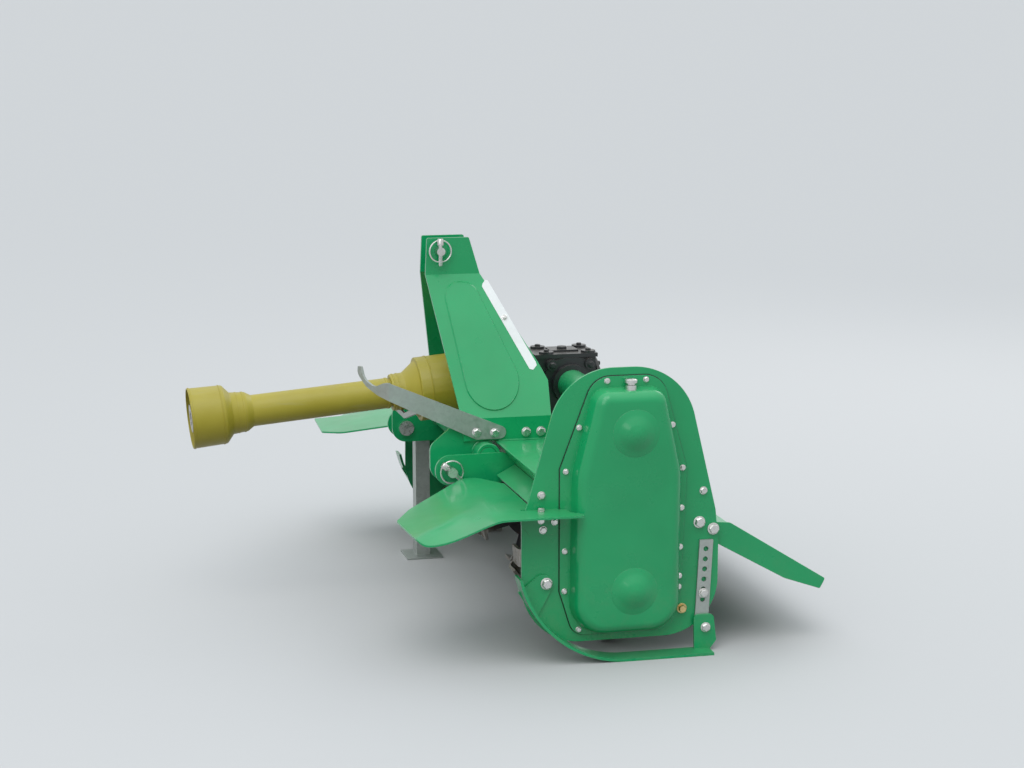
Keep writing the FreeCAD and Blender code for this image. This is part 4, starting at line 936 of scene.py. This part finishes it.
def deflectors():
    """The side deflectors, with their outer strips bent down along a slanting fold."""
    for side, name in SIDE_NAMES:
        mesh = bmesh.new()
        plan = rounded(wing_plan(WING_INNER[side]), 6.0)
        mesh.faces.new([mesh.verts.new((x, out, 0)) for x, out in plan])
        for normal, spots in ((Vector((1, 0, 0)), range(-452, -92, GRID)),
                              (Vector((0, 1, 0)), range(286, 708, GRID))):
            for spot in spots:
                everything = mesh.verts[:] + mesh.edges[:] + mesh.faces[:]
                bmesh.ops.bisect_plane(mesh, geom=everything, plane_co=normal * spot,
                                       plane_no=normal)
        rims = [tuple(edge.verts) for edge in mesh.edges if edge.is_boundary]
        tops = mesh.faces[:]
        under = {}
        for vert in mesh.verts[:]:
            x, out = vert.co.x, vert.co.y
            height = wing_top(x, out)
            vert.co = at(x, side * out, height)
            under[vert] = mesh.verts.new(at(x, side * out, height - WING_SHEET))
        for face in tops:
            mesh.faces.new([under[vert] for vert in reversed(face.verts)])
        for first, last in rims:
            mesh.faces.new((first, last, under[last], under[first]))
        place = Matrix.Translation(at(0, 0, 0)) @ UPRIGHT
        flange = rounded(WING_FLANGE)
        side_plate(mesh, place, flange, side, SIDE_FACE, SIDE_FACE + WING_SHEET)
        sheet = piece("side_deflector_" + name, mesh, "frame", "green_paint", bevel=0.6, sharp=50)
        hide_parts("deflector_" + name)


# the tailboard, in its own plane: distance behind the hinge, height over it, rounding
TAIL_CHEEK = [(-45, -25, 6), (-6, -25, 20), (205, -33, 30), (291, -21, 3), (291.5, 4, 4),
              (34, 26, 16), (2, 13, 8), (-12, 11, 6), (-20, -8.3, 4), (-45, -8.3, 4)]
TAIL_SHEET = [(-6, -4), (19, -5), (57, -26.3), (205, -33), (291, -21), (291, -17), (205, -29),
              (58, -22), (20, -1), (-6, 0)]
TAIL_RIB = [(150, -27), (150, -13), (154, -13), (154, -24), (170, -25), (170, -29)]
HINGE_PIN = [(13, 0), (13, 1.5), (8, 2), (8, 17)]
CHEEK_IN, CHEEK_OUT = 615, 619


def tailboard():
    """The tailboard: a sheet bent up at both edges, an angle on it, and its higher cheeks."""
    mesh = bmesh.new()
    along = Vector((math.cos(TAIL_SLOPE), 0, -math.sin(TAIL_SLOPE)))
    upwards = Vector((math.sin(TAIL_SLOPE), 0, math.cos(TAIL_SLOPE)))
    turn = Matrix((along, upwards, along.cross(upwards))).transposed().to_4x4()
    place = Matrix.Translation(at(*HINGE)) @ turn
    prism(mesh, place, TAIL_SHEET, -616, 616)
    prism(mesh, place, TAIL_RIB, -600, 600)
    cheek = rounded(TAIL_CHEEK)
    for side, axis in SIDES:
        side_plate(mesh, place, cheek, side, CHEEK_IN, CHEEK_OUT)
        lathe(mesh, facing(at(HINGE[0], side * 614, HINGE[2]), axis), HINGE_PIN, 32)
    board = piece("tailboard_sheet", mesh, "tailboard", "green_paint", bevel=0.7)
    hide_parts("tailboard")


case_fasteners()
hitch_fasteners()
mast_strips()
mast_panel_edges()
tube_caps()
gearbox_castings()
rotor_fasteners()
guard_rings()
tractor_yoke()
welds()
case_joint()
deflectors()
tailboard()


# camera, light and floor

SKY_LIGHT = (0.85, 0.93, 1.0)
SKY_SHOWN = (0.97, 0.99, 1.0)
FLOOR_SHADE = (0.17, 0.165, 0.15)    # its colour for the light that bounces off it
FLOOR_SHOWN = (0.52, 0.51, 0.50)
FLOOR_HALF = 300
SUN_POWER = 0.72
SUN_SPREAD = math.radians(40)
SUN_TURN = (math.radians(28), 0, math.radians(-28))
# name, place and size in metres, power in watts
LAMPS = (("key", (-2.2, -4.0, 2.6), 2.4, 27), ("rim", (2.8, 2.4, 3.0), 2.0, 22))
LAMP_TARGET = Vector((0, 0, 0.35))
# the photograph's camera, solved from the machine's right angles; its place is in mm
CAMERA_PLACE = (-1326, -5067, 1400)
CAMERA_RIGHT = Vector((0.9713, -0.2379, 0))
CAMERA_UP = Vector((0.04135, 0.16887, 0.98477))
SENSOR_WIDTH = 36
FOCAL_LENGTH = 79.45


def backdrop_ray(tree):
    """One on a ray that shows the backdrop: to the camera, in a reflection or through glass."""
    rays = tree.nodes.new("ShaderNodeLightPath")
    shown = maths(tree, "MAXIMUM", rays.outputs["Is Camera Ray"], rays.outputs["Is Glossy Ray"])
    return maths(tree, "MAXIMUM", shown, rays.outputs["Is Transmission Ray"])


def sky():
    """A soft sky, brighter overhead, shown paler than it lights."""
    world = bpy.data.worlds.new("studio")
    bpy.context.scene.world = world
    world.use_nodes = True
    tree = world.node_tree
    height = z_of(tree, tree.nodes.new("ShaderNodeTexCoord").outputs["Generated"])
    lighting = tree.nodes["Background"]
    feed(tree, lighting.inputs["Color"], SKY_LIGHT)
    feed(tree, lighting.inputs["Strength"], ramp(tree, height, 0.0, 0.8, 0.28, 1.4))
    seen = tree.nodes.new("ShaderNodeBackground")
    feed(tree, seen.inputs["Color"], SKY_SHOWN)
    feed(tree, seen.inputs["Strength"], ramp(tree, height, 0.1, 0.8, 0.66, 1.0))
    choice = tree.nodes.new("ShaderNodeMixShader")
    tree.links.new(backdrop_ray(tree), choice.inputs[0])
    tree.links.new(lighting.outputs[0], choice.inputs[1])
    tree.links.new(seen.outputs[0], choice.inputs[2])
    tree.links.new(choice.outputs[0], tree.nodes["World Output"].inputs["Surface"])


def lamps():
    """A wide sun and two soft lamps."""
    sun = bpy.data.lights.new("sky", "SUN")
    sun.energy = SUN_POWER
    sun.angle = SUN_SPREAD
    put("sky", sun).rotation_euler = SUN_TURN
    for name, place, size, power in LAMPS:
        light = bpy.data.lights.new(name, "AREA")
        light.size = size
        light.energy = power
        lamp = put(name, light)
        lamp.location = place
        towards = LAMP_TARGET - Vector(place)
        lamp.rotation_euler = towards.to_track_quat("-Z", "Y").to_euler()


def ground():
    """A plain pale floor."""
    mesh = bmesh.new()
    bmesh.ops.create_grid(mesh, x_segments=1, y_segments=1, size=FLOOR_HALF)
    floor = mesh_object("floor", mesh)
    material, tree, surface = new_material("floor", FLOOR_SHOWN, 0.9)
    shade = blend(tree, backdrop_ray(tree), FLOOR_SHADE, FLOOR_SHOWN)
    feed(tree, surface.inputs["Base Color"], shade)
    floor.data.materials.append(material)


def camera():
    """The photograph's camera."""
    lens = bpy.data.cameras.new("camera")
    lens.sensor_width = SENSOR_WIDTH
    lens.lens = FOCAL_LENGTH
    lens.clip_end = 1000
    eye = put("camera", lens)
    turn = Matrix((CAMERA_RIGHT, CAMERA_UP, CAMERA_RIGHT.cross(CAMERA_UP)))
    eye.matrix_world = Matrix.Translation(at(*CAMERA_PLACE)) @ turn.transposed().to_4x4()
    bpy.context.scene.camera = eye


sky()
lamps()
ground()
camera()
bpy.context.scene.view_settings.view_transform = "Standard"
